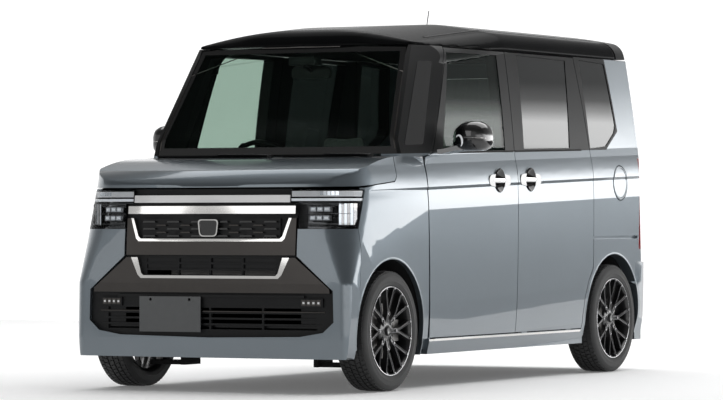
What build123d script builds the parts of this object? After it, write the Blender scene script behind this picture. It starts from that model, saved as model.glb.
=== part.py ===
from build123d import *
from math import sin, cos, radians, sqrt, hypot
import os

os.makedirs("parts", exist_ok=True)

# Kei car, millimetres. Inside this file y runs rearwards from the front axle, x to the
# car's left and z up from the ground; out() moves each piece so that the origin lies on
# the ground under the middle of the overall length.

# ---- driving dimensions -------------------------------------------------------------
OVERALL_LENGTH = 3395.0
FRONT_OVERHANG = 440.0
OVERALL_WIDTH = 1475.0
ROOF_HEIGHT = 1790.0
WHEELBASE = 2520.0
TRACK = 1305.0
TYRE_RADIUS = 281.0
TYRE_WIDTH = 164.0
RIM_RADIUS = 209.0
ARCH_RADIUS = 334.0
BODY_WALL = 60.0        # whole thickness of a door or a body side
SKIN_WALL = 22.0        # bonnet and front wings
SHUT_GAP = 5.0          # shut lines between panels that open
SEAM = 2.0              # seams between panels that do not move
GLASS_THICK = 5.0
GLASS_INSET = 3.0
SILL_Z = 160.0
STEER_LOCK_WALL = 392.0  # inner wall of the front wheelhouse, clear of the turned tyre
WHEELHOUSE_SHEET = 10.0
KINGPIN_X = 525.0

SIDE_X = OVERALL_WIDTH / 2
NOSE_Y = -FRONT_OVERHANG
TAIL_Y = OVERALL_LENGTH - FRONT_OVERHANG
AXLE_Z = TYRE_RADIUS
WHEEL_X = TRACK / 2
MID_Y = (NOSE_Y + TAIL_Y) / 2
BIG = 2500.0


def out(shape, name):
    solids = [Pos(0, -MID_Y, 0) * s for s in shape.solids()]
    placed = solids[0] if len(solids) == 1 else Compound(solids)
    placed.label = name
    export_step(placed, "parts/" + name + ".step")


def face(pts, radius=0):
    if radius:
        return make_face(FilletPolyline(*pts, radius=radius, close=True))
    return make_face(Polyline(*pts, close=True))


def slab_yz(pts, x0, x1, radius=0):
    return Pos(x0, 0, 0) * extrude(Plane.YZ * face(pts, radius), x1 - x0)


def slab_xz(pts, y0, y1, radius=0):
    return Pos(0, y1, 0) * extrude(Plane.XZ * face(pts, radius), y1 - y0)


def slab_xy(pts, z0, z1, radius=0):
    return Pos(0, 0, z0) * extrude(face(pts, radius), z1 - z0)


def box(x0, x1, y0, y1, z0, z1):
    return Pos((x0 + x1) / 2, (y0 + y1) / 2, (z0 + z1) / 2) * Box(x1 - x0, y1 - y0, z1 - z0)


def cyl_x(x0, x1, y, z, r):
    return Pos((x0 + x1) / 2, y, z) * Rot(0, 90, 0) * Cylinder(r, x1 - x0)


def cyl_y(y0, y1, x, z, r):
    return Pos(x, (y0 + y1) / 2, z) * Rot(90, 0, 0) * Cylinder(r, y1 - y0)


def cyl_z(z0, z1, x, y, r):
    return Pos(x, y, (z0 + z1) / 2) * Cylinder(r, z1 - z0)


def both(shape):
    """The left piece and its mirror image, as one compound of separate solids."""
    other = mirror(shape, about=Plane.YZ)
    return Compound(list(shape.solids()) + list(other.solids()))


def pair(shape):
    """The left piece and its mirror image as a list, to add or to cut."""
    return list(shape.solids()) + list(mirror(shape, about=Plane.YZ).solids())


def right(shape):
    return mirror(shape, about=Plane.YZ)


def group(*shapes):
    solids = []
    for s in shapes:
        solids += list(s.solids())
    return Compound(solids)


# ---- outer form ---------------------------------------------------------------------
# Cross-section of the sides: (half width, height). Runs marked with a middle point are arcs.
SHEAR = 0.03             # the belt and the shoulder line rise towards the tail
SIDE_RUNS = [
    [(700.0, SILL_Z), (719.0, 238.0)],
    [(719.0, 238.0), (726.5, 330.0), (731.0, 424.0)],
    [(731.0, 424.0), (735.6, 650.0), (SIDE_X, 872.0)],
    [(SIDE_X, 872.0), (736.6, 918.0), (733.8, 966.0)],
    [(733.8, 966.0), (736.4, 980.0)],
    [(736.4, 980.0), (731.0, 1034.0), (720.0, 1090.0)],
    [(720.0, 1090.0), (714.0, 1130.0)],
    [(714.0, 1130.0), (690.0, 1378.0), (655.0, 1640.0)],
    [(655.0, 1640.0), (640.0, 1740.0)],
]
ROOF_SHOULDER = [(655.5, 1640.0), (633.0, 1698.0), (572.0, 1733.0)]
ROOF_CROWN = (300.0, 1775.0)
# Section of the roof's front edge at BROW_Y, and how fast it rises rearwards.
BROW_Y, BROW_RISE = 548.0, 0.1
BROW_SHOULDER = [(655.5, 1545.0), (633.0, 1618.0), (565.0, 1662.0)]
BROW_CROWN = (300.0, 1709.0)
BROW_Z = 1725.0
COWL_Z = 1100.0
BONNET_REAR_Y = 54.0
GATE_ROOF_Y = 2716.0


def inset_runs(runs, t):
    """Move a closed chain of lines and arcs inwards by t, corner by corner."""
    if not t:
        return runs
    runs = [list(r) if len(r) == 2 or hypot(r[2][0] - r[0][0], r[2][1] - r[0][1]) > 1.5 * t
            else [r[0], r[2]] for r in runs]
    pts = [p for r in runs for p in r[:-1]]
    n = len(pts)
    area = sum(pts[i][0] * pts[(i + 1) % n][1] - pts[(i + 1) % n][0] * pts[i][1]
               for i in range(n))
    turn = 1.0 if area > 0 else -1.0
    moved = []
    for i, (x, z) in enumerate(pts):
        xa, za = pts[i - 1]
        xb, zb = pts[(i + 1) % n]
        d1 = Vector(x - xa, z - za).normalized()
        d2 = Vector(xb - x, zb - z).normalized()
        n1, n2 = Vector(-d1.Y, d1.X) * turn, Vector(-d2.Y, d2.X) * turn
        m = (n1 + n2).normalized()
        k = t / max(0.4, m.dot(n1))
        moved.append((x + m.X * k, z + m.Y * k))
    got, i = [], 0
    for r in runs:
        step = len(r) - 1
        got.append([moved[(i + j) % n] for j in range(step + 1)])
        i += step
    return got


def arc_face(runs, plane_of, t=0):
    edges = []
    for run in inset_runs(runs, t):
        pts = [plane_of(*p) for p in run]
        edges.append(Line(*pts) if len(run) == 2 else ThreePointArc(*pts))
    return Face(Wire(edges))


def prism(flat, vector):
    return Solid.extrude(flat, Vector(*vector))


def side_prism(t):
    y0 = -700.0
    drop = -SHEAR * (MID_Y - y0)

    def at(x, z):
        return (x, y0, z + drop)

    runs = [list(r) for r in SIDE_RUNS]
    low, top = runs[0][0], runs[-1][-1]
    far = 2400.0
    mirror_runs = [[(-x, z) for x, z in reversed(r)] for r in reversed(runs)]
    loop = runs + [[top, (top[0], far)], [(top[0], far), (-top[0], far)],
                   [(-top[0], far), (-top[0], top[1])]] + mirror_runs
    loop += [[(-low[0], low[1]), (-low[0], -200.0)], [(-low[0], -200.0), (low[0], -200.0)],
             [(low[0], -200.0), low]]
    return prism(arc_face(loop, at, t), (0, 4400, 4400 * SHEAR))


def roof_prism(t):
    y0 = -760.0

    def at(x, z):
        return (x, y0, z)

    a, m, b = ROOF_SHOULDER
    half = [[(900.0, SILL_Z), (900.0, 1440.0)], [(900.0, 1440.0), a], [a, m, b]]
    crown = [[b, (ROOF_CROWN[0], ROOF_CROWN[1]), (0.0, ROOF_HEIGHT)]]
    right_half = [[(-x, z) for x, z in reversed(r)] for r in reversed(half + crown)]
    loop = half + crown + right_half + [[(-900.0, SILL_Z), (900.0, SILL_Z)]]
    return prism(arc_face(loop, at, t), (0, 4700, 0))


def brow_prism(t):
    """Rounds the front corners of the roof and fades out rearwards."""
    y0 = -760.0
    drop = -BROW_RISE * (BROW_Y - y0)

    def at(x, z):
        return (x, y0, z + drop)

    a, m, b = BROW_SHOULDER
    half = [[(905.0, -300.0), (905.0, 1345.0)], [(905.0, 1345.0), a], [a, m, b],
            [b, BROW_CROWN, (0.0, BROW_Z)]]
    right_half = [[(-x, z) for x, z in reversed(r)] for r in reversed(half)]
    loop = half + right_half + [[(-905.0, -300.0), (905.0, -300.0)]]
    return prism(arc_face(loop, at, t), (0, 4700, 4700 * BROW_RISE))


PROFILE_RUNS = [
    [(-700.0, SILL_Z), (-700.0, 700.0)], [(-700.0, 700.0), (-446.0, 915.0)],
    [(-446.0, 915.0), (-436.0, 948.0), (-405.0, 976.0)],
    [(-405.0, 976.0), (-215.0, 1046.0), (BONNET_REAR_Y + 3.0, 1094.0)],
    [(BONNET_REAR_Y + 3.0, 1094.0), (204.0, COWL_Z)],
    [(204.0, COWL_Z), (204.0, 1520.0)], [(204.0, 1520.0), (466.0, 1640.0)],
    [(466.0, 1640.0), (489.0, 1695.0), (548.0, 1722.0)],
    [(548.0, 1722.0), (1150.0, 1767.0), (1800.0, ROOF_HEIGHT)],
    [(1800.0, ROOF_HEIGHT), (2280.0, 1787.0), (2716.0, 1764.0)],
    [(2716.0, 1764.0), (2800.0, 1750.0), (2874.0, 1722.0)],
    [(2874.0, 1722.0), (2890.0, 1640.0)], [(2890.0, 1640.0), (3200.0, 1400.0)],
    [(3200.0, 1400.0), (3200.0, SILL_Z)], [(3200.0, SILL_Z), (-700.0, SILL_Z)],
]


def profile_solid(t):
    return prism(arc_face(PROFILE_RUNS, lambda y, z: (-900.0, y, z), t), (1800, 0, 0))


def nose_wire(z, yf, xa, ya, xm, ym, yb, t, side=SIDE_X + 4.0):
    s = side - t
    path = [
        Line((-s, 3300, z), (-s, yb + 0.4 * t, z)),
        ThreePointArc((-s, yb + 0.4 * t, z), (-xm + 0.8 * t, ym + 0.7 * t, z),
                      (-xa + 0.3 * t, ya + t, z)),
        ThreePointArc((-xa + 0.3 * t, ya + t, z), (0, yf + t, z), (xa - 0.3 * t, ya + t, z)),
        ThreePointArc((xa - 0.3 * t, ya + t, z), (xm - 0.8 * t, ym + 0.7 * t, z),
                      (s, yb + 0.4 * t, z)),
        Line((s, yb + 0.4 * t, z), (s, 3300, z)),
        Line((s, 3300, z), (-s, 3300, z)),
    ]
    return Wire(path)


# Nose plan at several heights: z, centre y, corner start x and y, corner middle x and y,
# corner end y.
NOSE = [
    (100.0, -432.0, 684.0, -420.0, 724.0, -402.0, -362.0),
    (250.0, NOSE_Y, 684.0, -426.0, 725.0, -408.0, -366.0),
    (505.0, NOSE_Y, 680.0, -424.0, 723.7, -404.1, -359.6),
    (700.0, -436.0, 600.0, -412.0, 700.7, -363.0, -258.7),
    (960.0, -430.0, 540.0, -385.0, 684.5, -302.7, -146.8),
    (COWL_Z, -424.0, 520.0, -370.0, 679.2, -272.8, -97.1),
]


def nose_solid(t):
    wires = [nose_wire(*row, t) for row in NOSE]
    return Solid.make_loft(wires, ruled=True)


def screen_wire(z, yf, xa, ya, xb, yb, t):
    """Plan of the cabin's front at one height: bowed screen, then the pillar's side."""
    s = SIDE_X + 4.0
    path = [
        Line((-s, 3300, z), (-s, yb + 260, z)),
        Line((-s, yb + 260, z), (-xb + t, yb, z)),
        Line((-xb + t, yb, z), (-xa + 0.6 * t, ya + t, z)),
        ThreePointArc((-xa + 0.6 * t, ya + t, z), (0, yf + t, z), (xa - 0.6 * t, ya + t, z)),
        Line((xa - 0.6 * t, ya + t, z), (xb - t, yb, z)),
        Line((xb - t, yb, z), (s, yb + 260, z)),
        Line((s, yb + 260, z), (s, 3300, z)),
        Line((s, 3300, z), (-s, 3300, z)),
    ]
    return Wire(path)


# z, screen centre y, screen corner x and y, pillar's rear corner x and y.
SCREEN_LOW = (COWL_Z, 84.0, 672.0, 158.0, 716.0, 430.0)
SCREEN_HIGH = (1800.0, 548.0, 560.0, 590.0, 636.0, 800.0)


def screen_solid(t):
    return Solid.make_loft([screen_wire(*SCREEN_LOW, t), screen_wire(*SCREEN_HIGH, t)],
                           ruled=True)


def tail_wire(z, yr, half, r, t):
    s, y = half - t, yr - t
    q = r * (1 - sqrt(0.5))
    path = [
        Line((-s, -800, z), (s, -800, z)),
        Line((s, -800, z), (s, y - r, z)),
        ThreePointArc((s, y - r, z), (s - q, y - q, z), (s - r, y, z)),
        Line((s - r, y, z), (-s + r, y, z)),
        ThreePointArc((-s + r, y, z), (-s + q, y - q, z), (-s, y - r, z)),
        Line((-s, y - r, z), (-s, -800, z)),
    ]
    return Wire(path)


BUMPER_TOP_Z = 572.0
TAIL_LOW = [(100.0, TAIL_Y - 6, SIDE_X + 3, 86.0), (BUMPER_TOP_Z, TAIL_Y, SIDE_X + 3, 86.0)]
TAIL_HIGH = [(BUMPER_TOP_Z, 2916.0, SIDE_X + 3, 80.0), (1170.0, 2898.0, SIDE_X + 3, 90.0),
             (1800.0, 2838.0, 660.0, 70.0)]


def tail_solid(t):
    low = Solid.make_loft([tail_wire(*row, t) for row in TAIL_LOW], ruled=True)
    high = Solid.make_loft([tail_wire(*row, t) for row in TAIL_HIGH], ruled=True)
    return low + high


made = {}


def body(t):
    """The closed outer form moved inwards by t."""
    if t not in made:
        front = nose_solid(t) + screen_solid(t)
        shapes = [roof_prism(t), profile_solid(t), front, side_prism(t), tail_solid(t),
                  brow_prism(t)]
        for order in ((0, 1, 2, 3, 4, 5), (0, 5, 1, 2, 3, 4), (5, 1, 2, 0, 3, 4),
                      (3, 1, 2, 0, 4, 5), (4, 3, 2, 1, 0, 5), (1, 5, 3, 0, 4, 2)):
            got = shapes[order[0]]
            for i in order[1:]:
                got = got & shapes[i] if got is not None else None
            if got is not None:
                break
        made[t] = got
    return made[t]


def layer(t0, t1):
    return body(t0) - body(t1)


outer = body(0)
wall = layer(0, BODY_WALL)
skin = layer(0, SKIN_WALL)
pane = layer(GLASS_INSET, GLASS_INSET + GLASS_THICK)

# ---- side openings and cut lines, in side view (y, z) --------------------------------
DOOR_LOW_Z = 236.0
DOOR_TOP_Z = 1633.0
FRONT_DOOR = [(404.0, DOOR_LOW_Z), (363.0, 1060.0), (376.0, 1096.0), (463.0, 1118.0),
              (722.0, DOOR_TOP_Z), (1360.0, DOOR_TOP_Z), (1353.0, DOOR_LOW_Z)]
REAR_DOOR = [(1353.0, DOOR_LOW_Z), (1360.0, DOOR_TOP_Z), (2166.0, DOOR_TOP_Z), (2256.0, 1150.0),
             (2260.0, 547.0), (2206.0, 480.0), (2168.0, 400.0), (2150.0, 300.0),
             (2150.0, DOOR_LOW_Z)]
FRONT_LIGHT = [(566.0, 1124.0), (1256.0, 1140.0), (1264.0, 1612.0), (730.0, 1606.0)]
REAR_LIGHT = [(1470.0, 1151.0), (2014.0, 1163.0), (2062.0, 1612.0), (1496.0, 1620.0)]
QUARTER_LIGHT = [(2266.0, 1164.0), (2463.0, 1178.0), (2580.0, 1250.0), (2602.0, 1290.0),
                 (2540.0, 1611.0), (2230.0, 1622.0)]
BONNET_SIDE = [(-520.0, 946.0), (-292.0, 950.0), (-126.0, 964.0), (30.0, 977.0),
               (54.0, 1000.0), (54.0, 1140.0), (-520.0, 1140.0)]
FUEL_LID_Y, FUEL_LID_Z, FUEL_LID_R = 2596.0, 988.0, 88.0
GLASS_FIT = 0.3


def grown(pts, d, radius=0):
    base = face(pts, radius)
    return offset(base, d, kind=Kind.INTERSECTION) if d else base


def side_cut(pts, d, x0=300.0, x1=900.0, radius=0):
    return Pos(x0, 0, 0) * extrude(Plane.YZ * grown(pts, d, radius), x1 - x0)


def front_cut(pts, d, y0, y1, radius=0):
    return Pos(0, y1, 0) * extrude(Plane.XZ * grown(pts, d, radius), y1 - y0)


def mirrored(pts):
    """Closed outline from its left half, which starts and ends on the middle line."""
    return pts + [(-x, z) for x, z in reversed(pts) if abs(x) > 1e-6]


HALF = SHUT_GAP / 2
door_zone = side_cut(FRONT_DOOR, HALF)
slide_zone = side_cut(REAR_DOOR, HALF)

# ---- doors --------------------------------------------------------------------------
# The front door turns about an upright pivot inside its leading edge. Ahead of the pivot
# the edge is a cone about it, and the wing and the pillar are relieved by the same cone.
PIVOT_X, PIVOT_Y = 704.0, 430.0
PIN_R, PIN_FIT = 7.0, 0.1
DOOR_SKIN_X = 736.0


def nose_r(y_cut):
    return hypot(DOOR_SKIN_X - PIVOT_X, PIVOT_Y - y_cut)


NOSE_LOW_Z, NOSE_TOP_Z = DOOR_LOW_Z, 1096.0


def door_nose(grow):
    (ya, za), (yb, zb) = FRONT_DOOR[0], FRONT_DOOR[1]
    r0, r1 = nose_r(ya), nose_r(yb)
    slope = (r1 - r0) / (zb - za)
    z0, z1 = NOSE_LOW_Z - grow, NOSE_TOP_Z + grow
    return Pos(PIVOT_X, PIVOT_Y, (z0 + z1) / 2) * Cone(
        r0 + slope * (z0 - za) + grow, r0 + slope * (z1 - za) + grow, z1 - z0)


nose_room = door_nose(SHUT_GAP) & box(560, 900, 0, PIVOT_Y + 80, 0, 2000)
low_pin = cyl_z(DOOR_LOW_Z - 30, DOOR_LOW_Z + 26, PIVOT_X, PIVOT_Y, PIN_R)
top_pin = cyl_z(1082.0, 1136.0, PIVOT_X, PIVOT_Y, PIN_R)
pin_room = [cyl_z(DOOR_LOW_Z - 31, DOOR_LOW_Z + 28, PIVOT_X, PIVOT_Y, PIN_R + PIN_FIT),
            cyl_z(1080.0, 1137.0, PIVOT_X, PIVOT_Y, PIN_R + PIN_FIT)]
door = wall & side_cut(FRONT_DOOR, -HALF)
door = door & (box(300, 900, PIVOT_Y, 2000, 0, 2000) + door_nose(0)
               + box(300, 900, 300, 2000, NOSE_TOP_Z, 2000))
door = door - side_cut(FRONT_LIGHT, 0) - pin_room
slide_door = wall & side_cut(REAR_DOOR, -HALF)
slide_door = slide_door - side_cut(REAR_LIGHT, 0) - box(540, 606, 1300, 2300, 1610, 1700)
RAIL_Z, RAIL_HIGH, RAIL_DEEP = 703.0, 15.0, 14.0
for foot_y in (1460.0, 1980.0):
    slide_door += box(684, 704, foot_y, foot_y + 60, DOOR_LOW_Z - HALF + 0.3, DOOR_LOW_Z + 12)

# Handle bowls and bars: y from, y to, z.
HANDLES = [(1030.0, 1266.0, 990.0), (1383.0, 1620.0, 997.0)]
BOWL_R = 62.0
BOWL_DEEP = 26.0


def handle_recess(y0, y1, z, fit=0.3):
    """What is cut from the door: the bowl for the fingers and the seat of the pull."""
    bowl = Pos(SIDE_X + 34.0, (y0 + y1) / 2 + 0.7, z + 0.3) * Rot(0, 0, 37) * Sphere(70.0)
    feet = [box(SIDE_X - 30.0 - fit, SIDE_X + 10, y - fit, y + 24 + fit, z - 9 - fit, z + 9 + fit)
            for y in (y0 + 16, y1 - 40)]
    slot = box(SIDE_X - 9.0 - fit, SIDE_X + 10, y0 + 12 - fit, y1 - 12 + fit, z - 13 - fit,
               z + 13 + fit)
    return [bowl] + feet + [slot]


def handle_bar(y0, y1, z):
    """The pull with its two feet."""
    bar = box(SIDE_X - 9.0, SIDE_X, y0 + 12, y1 - 12, z - 13, z + 13)
    bar = fillet(bar.edges().filter_by(Axis.X), 10.0)
    for y in (y0 + 16, y1 - 40):
        bar += box(SIDE_X - 30.0, SIDE_X - 5.0, y, y + 24, z - 9, z + 9)
    return bar


bars = [handle_bar(*h) for h in HANDLES]
for cut in handle_recess(*HANDLES[0]):
    door = door - cut
for cut in handle_recess(*HANDLES[1]):
    slide_door = slide_door - cut

light = pane & side_cut(FRONT_LIGHT, -GLASS_FIT)
slide_light = pane & side_cut(REAR_LIGHT, -GLASS_FIT)
quarter_light = pane & side_cut(QUARTER_LIGHT, -GLASS_FIT)

# ---- wheel arches and wheelhouses ---------------------------------------------------
def arch(y, r, x0, x1):
    return cyl_x(x0, x1, y, AXLE_Z, r)


front_arch = arch(0, ARCH_RADIUS, STEER_LOCK_WALL, 900)
rear_arch = arch(WHEELBASE, ARCH_RADIUS, 500, 900)
low_front = box(STEER_LOCK_WALL, 900, -ARCH_RADIUS, ARCH_RADIUS, 0, AXLE_Z)
low_rear = box(500, 900, WHEELBASE - ARCH_RADIUS, WHEELBASE + ARCH_RADIUS, 0, AXLE_Z)
arches = front_arch + rear_arch + low_front + low_rear

# ---- front wings --------------------------------------------------------------------
WING_FRONT_Y = -312.0
wing_zone_pts = [(WING_FRONT_Y, SILL_Z - 20), (WING_FRONT_Y, 757.0), (-250.0, 930.0),
                 (-250.0, 946.0), (-126.0, 964.0), (30.0, 977.0), (54.0, 1000.0),
                 (54.0, 1140.0), (200.0, COWL_Z), (376.0, COWL_Z), (363.0, 1060.0),
                 (404.0, DOOR_LOW_Z), (408.0, SILL_Z - 20)]
wing_zone = side_cut(wing_zone_pts, 0, 560.0)
bonnet_keep = side_cut(BONNET_SIDE, HALF, -900.0)
wing = skin & wing_zone
wing = wing & box(569, 900, -900, 900, 0, COWL_Z - 0.5)
wing = wing - box(0, 641, 56, 400, 1000, 1200)
wing = wing - bonnet_keep - door_zone - nose_room - arches
wing = wing - box(0, 900, 340, 500, 0, DOOR_LOW_Z)

# ---- bonnet -------------------------------------------------------------------------
# Lid hinges: a lug on the fixed panel reaches into a notch in the lid's edge, and its pin
# turns in the notch's two sides.
LUG_WIDE, LUG_R, LUG_DROP, NOTCH = 28.0, 3.5, 2.0, 11.0
PANEL_GAP = 7.0
BONNET_AXIS_Z = 1093.8 - LUG_DROP
GATE_AXIS_Z = 1764.0 - LUG_DROP


def lug(x, axis_y, axis_z, toward, reach):
    """toward is +1 when the fixed panel lies at larger y."""
    y0, y1 = sorted((axis_y, axis_y + toward * (PANEL_GAP + reach)))
    arm = box(x - LUG_WIDE / 2, x + LUG_WIDE / 2, y0, y1, axis_z - 6.0, axis_z + 1.5)
    barrel = cyl_x(x - LUG_WIDE / 2, x + LUG_WIDE / 2, axis_y, axis_z, LUG_R)
    return arm + barrel


def notch(x, axis_y, axis_z, toward):
    y0, y1 = sorted((axis_y - toward * NOTCH, axis_y + toward * 20.0))
    return box(x - LUG_WIDE / 2 - 0.3, x + LUG_WIDE / 2 + 0.3, y0, y1, axis_z - 90.0,
               axis_z + 20.0)


bonnet = skin & side_cut(BONNET_SIDE, -HALF, -900.0)
bonnet = bonnet & box(-900, 900, -900, BONNET_REAR_Y - HALF, 0, 1300)
LUG_XS = (-520.0, 520.0)
BONNET_AXIS_Y = BONNET_REAR_Y - HALF
bonnet = bonnet - [notch(x, BONNET_AXIS_Y, BONNET_AXIS_Z, 1) for x in LUG_XS]

# ---- cowl panel under the screen ----------------------------------------------------
SCREEN = [(0.0, 1106.0), (655.0, 1112.0), (563.0, 1626.0), (0.0, 1640.0)]
SCREEN_OUTLINE = [(655.0, 1112.0), (563.0, 1626.0), (0.0, 1640.0), (-563.0, 1626.0),
                  (-655.0, 1112.0), (0.0, 1104.0)]
screen_zone = front_cut(SCREEN_OUTLINE, 0, -100, 700)
cowl = layer(0, 40.0) & box(-640, 640, BONNET_AXIS_Y + PANEL_GAP, 330, 1000, 1140)
cowl = cowl + [lug(x, BONNET_AXIS_Y, BONNET_AXIS_Z, 1, 12.0) for x in LUG_XS]
cowl = cowl - screen_zone - (outer & box(-900, 900, -100, 700, COWL_Z + 0.2, 1400))

windscreen = pane & front_cut(
    SCREEN_OUTLINE, -GLASS_FIT, -100, 700)

# ---- body sides ---------------------------------------------------------------------
GATE = [(630.0, BUMPER_TOP_Z + 6), (655.0, 720.0), (650.0, 1150.0), (592.0, 1640.0),
        (592.0, 1900.0)]
gate_pts = [(x, z) for x, z in GATE] + [(-x, z) for x, z in reversed(GATE)]
ROOF_EDGE_Z = 1638.0

side = wall & box(570, 900, 40, 3200, 0, ROOF_EDGE_Z - SEAM)
side = side - box(0, 900, -900, 300, 0, COWL_Z + 0.2)
side = side - screen_zone - door_zone - slide_zone - arches - nose_room
wing_cover = layer(0, SKIN_WALL + SEAM) & side_cut(wing_zone_pts, SEAM, 560.0)
side = side - (wing_cover & box(0, 900, -900, 500, 0, COWL_Z + 0.1))
gate_zone = front_cut(gate_pts, HALF, 2560, 3200)
side = side - gate_zone
side = side - cyl_x(300, 900, 0, AXLE_Z, ARCH_RADIUS + 23.0)
side = side - cyl_x(300, 677.0, WHEELBASE, AXLE_Z, ARCH_RADIUS + 13.0)
TAIL_LAMP = [(662.0, 640.0), (760.0, 640.0), (760.0, 1120.0), (657.0, 1120.0)]
lamp_zone = front_cut(TAIL_LAMP, 0, 2838, 3100)
REAR_BUMPER_Y = 2796.0
bumper_zone = box(-900, 900, REAR_BUMPER_Y, 3200, 0, BUMPER_TOP_Z)
side = side - box(-900, 900, REAR_BUMPER_Y - GLASS_FIT, 3200, 0, BUMPER_TOP_Z + GLASS_FIT)
tail_lamp = layer(0, 45.0) & front_cut(TAIL_LAMP, -GLASS_FIT, 2838 + GLASS_FIT, 3100)
side = side - (layer(0, 46.0) & lamp_zone)
side = side - side_cut(QUARTER_LIGHT, 0)
LID_GAP = 5.0
lid_hole = cyl_x(600, 900, FUEL_LID_Y, FUEL_LID_Z, FUEL_LID_R + LID_GAP)
LID_THICK = 8.0
fuel_lid = layer(0, LID_THICK) & cyl_x(600, 900, FUEL_LID_Y, FUEL_LID_Z, FUEL_LID_R)
LID_AXIS_Y = FUEL_LID_Y - FUEL_LID_R
LID_LUG = 12.0
lid_axis_x = 734.0
lid_lug = box(lid_axis_x - 5.0, lid_axis_x - 0.5, LID_AXIS_Y - LID_GAP - 2, LID_AXIS_Y - 0.3,
              FUEL_LID_Z - LID_LUG, FUEL_LID_Z + LID_LUG)
pins = (low_pin + top_pin) & box(0, 900, 0, 900, DOOR_LOW_Z - 20, 1124.0)
side = side + pins
side_left = side - (layer(0, 34.0) & lid_hole)
rail = layer(0, RAIL_DEEP) & box(500, 900, 2255, 2816, RAIL_Z - RAIL_HIGH / 2,
                                       RAIL_Z + RAIL_HIGH / 2)
side_left = side_left - rail + lid_lug
side_right = right(side - rail)

# ---- roof, tailgate and rear bumper -------------------------------------------------
GATE_AXIS_Y = GATE_ROOF_Y + PANEL_GAP
roof = wall & box(-900, 900, 300, GATE_ROOF_Y, ROOF_EDGE_Z, 1900)
roof = roof - screen_zone
GATE_LUG_XS = (-330.0, 330.0)

gate_all = front_cut(gate_pts, -HALF, 2560, 3200)
gate = wall & gate_all
gate = gate & (box(-900, 900, 2560 + 300, 3200, 0, 1700) + box(-900, 900, GATE_ROOF_Y, 3200, 1400, 1900)
               + box(-900, 900, 2750, 3200, 0, 1700))
spoiler_side = wall & box(-900, 900, GATE_AXIS_Y, 3200, ROOF_EDGE_Z + SHUT_GAP, 1900)
gate = gate & box(-900, 900, GATE_AXIS_Y, 3200, 0, 1900)
gate = gate + spoiler_side
roof = roof + [lug(x, GATE_AXIS_Y, GATE_AXIS_Z, -1, 20.0) for x in GATE_LUG_XS]
gate = gate - [notch(x, GATE_AXIS_Y, GATE_AXIS_Z, -1) for x in GATE_LUG_XS]
GATE_LIGHT = [(560.0, 1130.0), (520.0, 1560.0), (-520.0, 1560.0), (-560.0, 1130.0)]
gate = gate - front_cut(GATE_LIGHT, 0, 2700, 3200)
gate_light = pane & front_cut(GATE_LIGHT, -GLASS_FIT, 2700, 3200)

rear_bumper = layer(0, 40.0) & box(-900, 900, REAR_BUMPER_Y, 3200, 0, BUMPER_TOP_Z)
rear_bumper = rear_bumper - arches - mirror(arches, about=Plane.YZ)
for sx in (-300.0, 300.0):
    rear_bumper = rear_bumper + (box(sx - 40, sx + 40, 2790.3, TAIL_Y - 30, 380, 460) & outer)

# ---- front bumper, lamps and grilles ------------------------------------------------
NOSE_WALL = 28.0
LAMP_X = 420.0
LAMP_SIDE = [(-560.0, 757.0), (-317.0, 757.0), (-255.0, 930.0), (-255.0, 940.0),
             (-560.0, 940.0)]
LAMP_LOW_X, LAMP_STEP_Z = 462.0, 874.0   # the lamp's inner edge steps out below the light bar
lamp_box = side_cut(LAMP_SIDE, 0, LAMP_X) - box(0, LAMP_LOW_X, -700, -200, 0, LAMP_STEP_Z)
headlamp = layer(0, 60.0) & side_cut(LAMP_SIDE, -1.0, LAMP_X + 1.0)
headlamp = headlamp - box(0, LAMP_LOW_X + 1.0, -700, -200, 0, LAMP_STEP_Z + 1.0)
nose = layer(0, NOSE_WALL) & box(-900, 900, -600, -255, 0, 940.0)
nose_rear = side_cut([(WING_FRONT_Y - SEAM, 0.0), (WING_FRONT_Y - SEAM, 755.0),
                      (-250.0 - SEAM, 926.0), (-250.0 - SEAM, 1200.0), (0.0, 1200.0),
                      (0.0, 0.0)], 0, -900.0)
# The wing side of the lamp's pocket has no bumper skin behind the lamp.
LAMP_REAR_X, LAMP_REAR_Y = 500.0, (-340.0, -200.0)
lamp_room = lamp_box + box(LAMP_REAR_X, 900, *LAMP_REAR_Y, LAMP_SIDE[0][1], LAMP_SIDE[-1][1] + 1)
nose = nose - nose_rear - lamp_room - right(lamp_room)
# Opening in the painted bumper, then what fills it, each as half outlines (x, z).
MASK_X = LAMP_LOW_X + 0.5
MASK = mirrored([(0.0, 943.0), (LAMP_X + 0.5, 943.0), (LAMP_X + 0.5, LAMP_STEP_Z),
                 (MASK_X, LAMP_STEP_Z), (MASK_X, 632.0), (650.0, 474.0), (654.0, 330.0),
                 (600.0, 282.0), (480.0, 262.0), (0.0, 254.0)])
LIGHT_BAR = mirrored([(0.0, 914.0), (LAMP_X - 3.0, 914.0), (LAMP_X - 3.0, 880.0), (0.0, 880.0)])
TOP_BAR = mirrored([(0.0, 864.0), (448.0, 864.0), (448.0, 828.0), (0.0, 828.0)])
UPPER_U = ([(453.0, 808.0), (453.0, 636.0)], [(430.0, 808.0), (398.0, 712.0), (384.0, 700.0)],
           [(416.0, 808.0), (386.0, 724.0), (372.0, 712.0)])
LOWER_U = ([(452.0, 625.0), (630.0, 482.0), (632.0, 462.0)],
           [(424.0, 625.0), (386.0, 545.0), (368.0, 528.0)],
           [(388.0, 625.0), (366.0, 552.0), (354.0, 541.0)])


def garnish_outline(u):
    edge, inner_edge, _ = u
    loop = edge + [(0.0, edge[-1][1])]
    right_half = [(-x, z) for x, z in reversed(edge)]
    return loop + right_half + [(-x, z) for x, z in inner_edge] + list(reversed(inner_edge))


def trim_outline(u):
    _, low, high = u
    return (list(low) + [(-x, z) for x, z in reversed(low)] + [(-x, z) for x, z in high]
            + list(reversed(high)))


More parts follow.
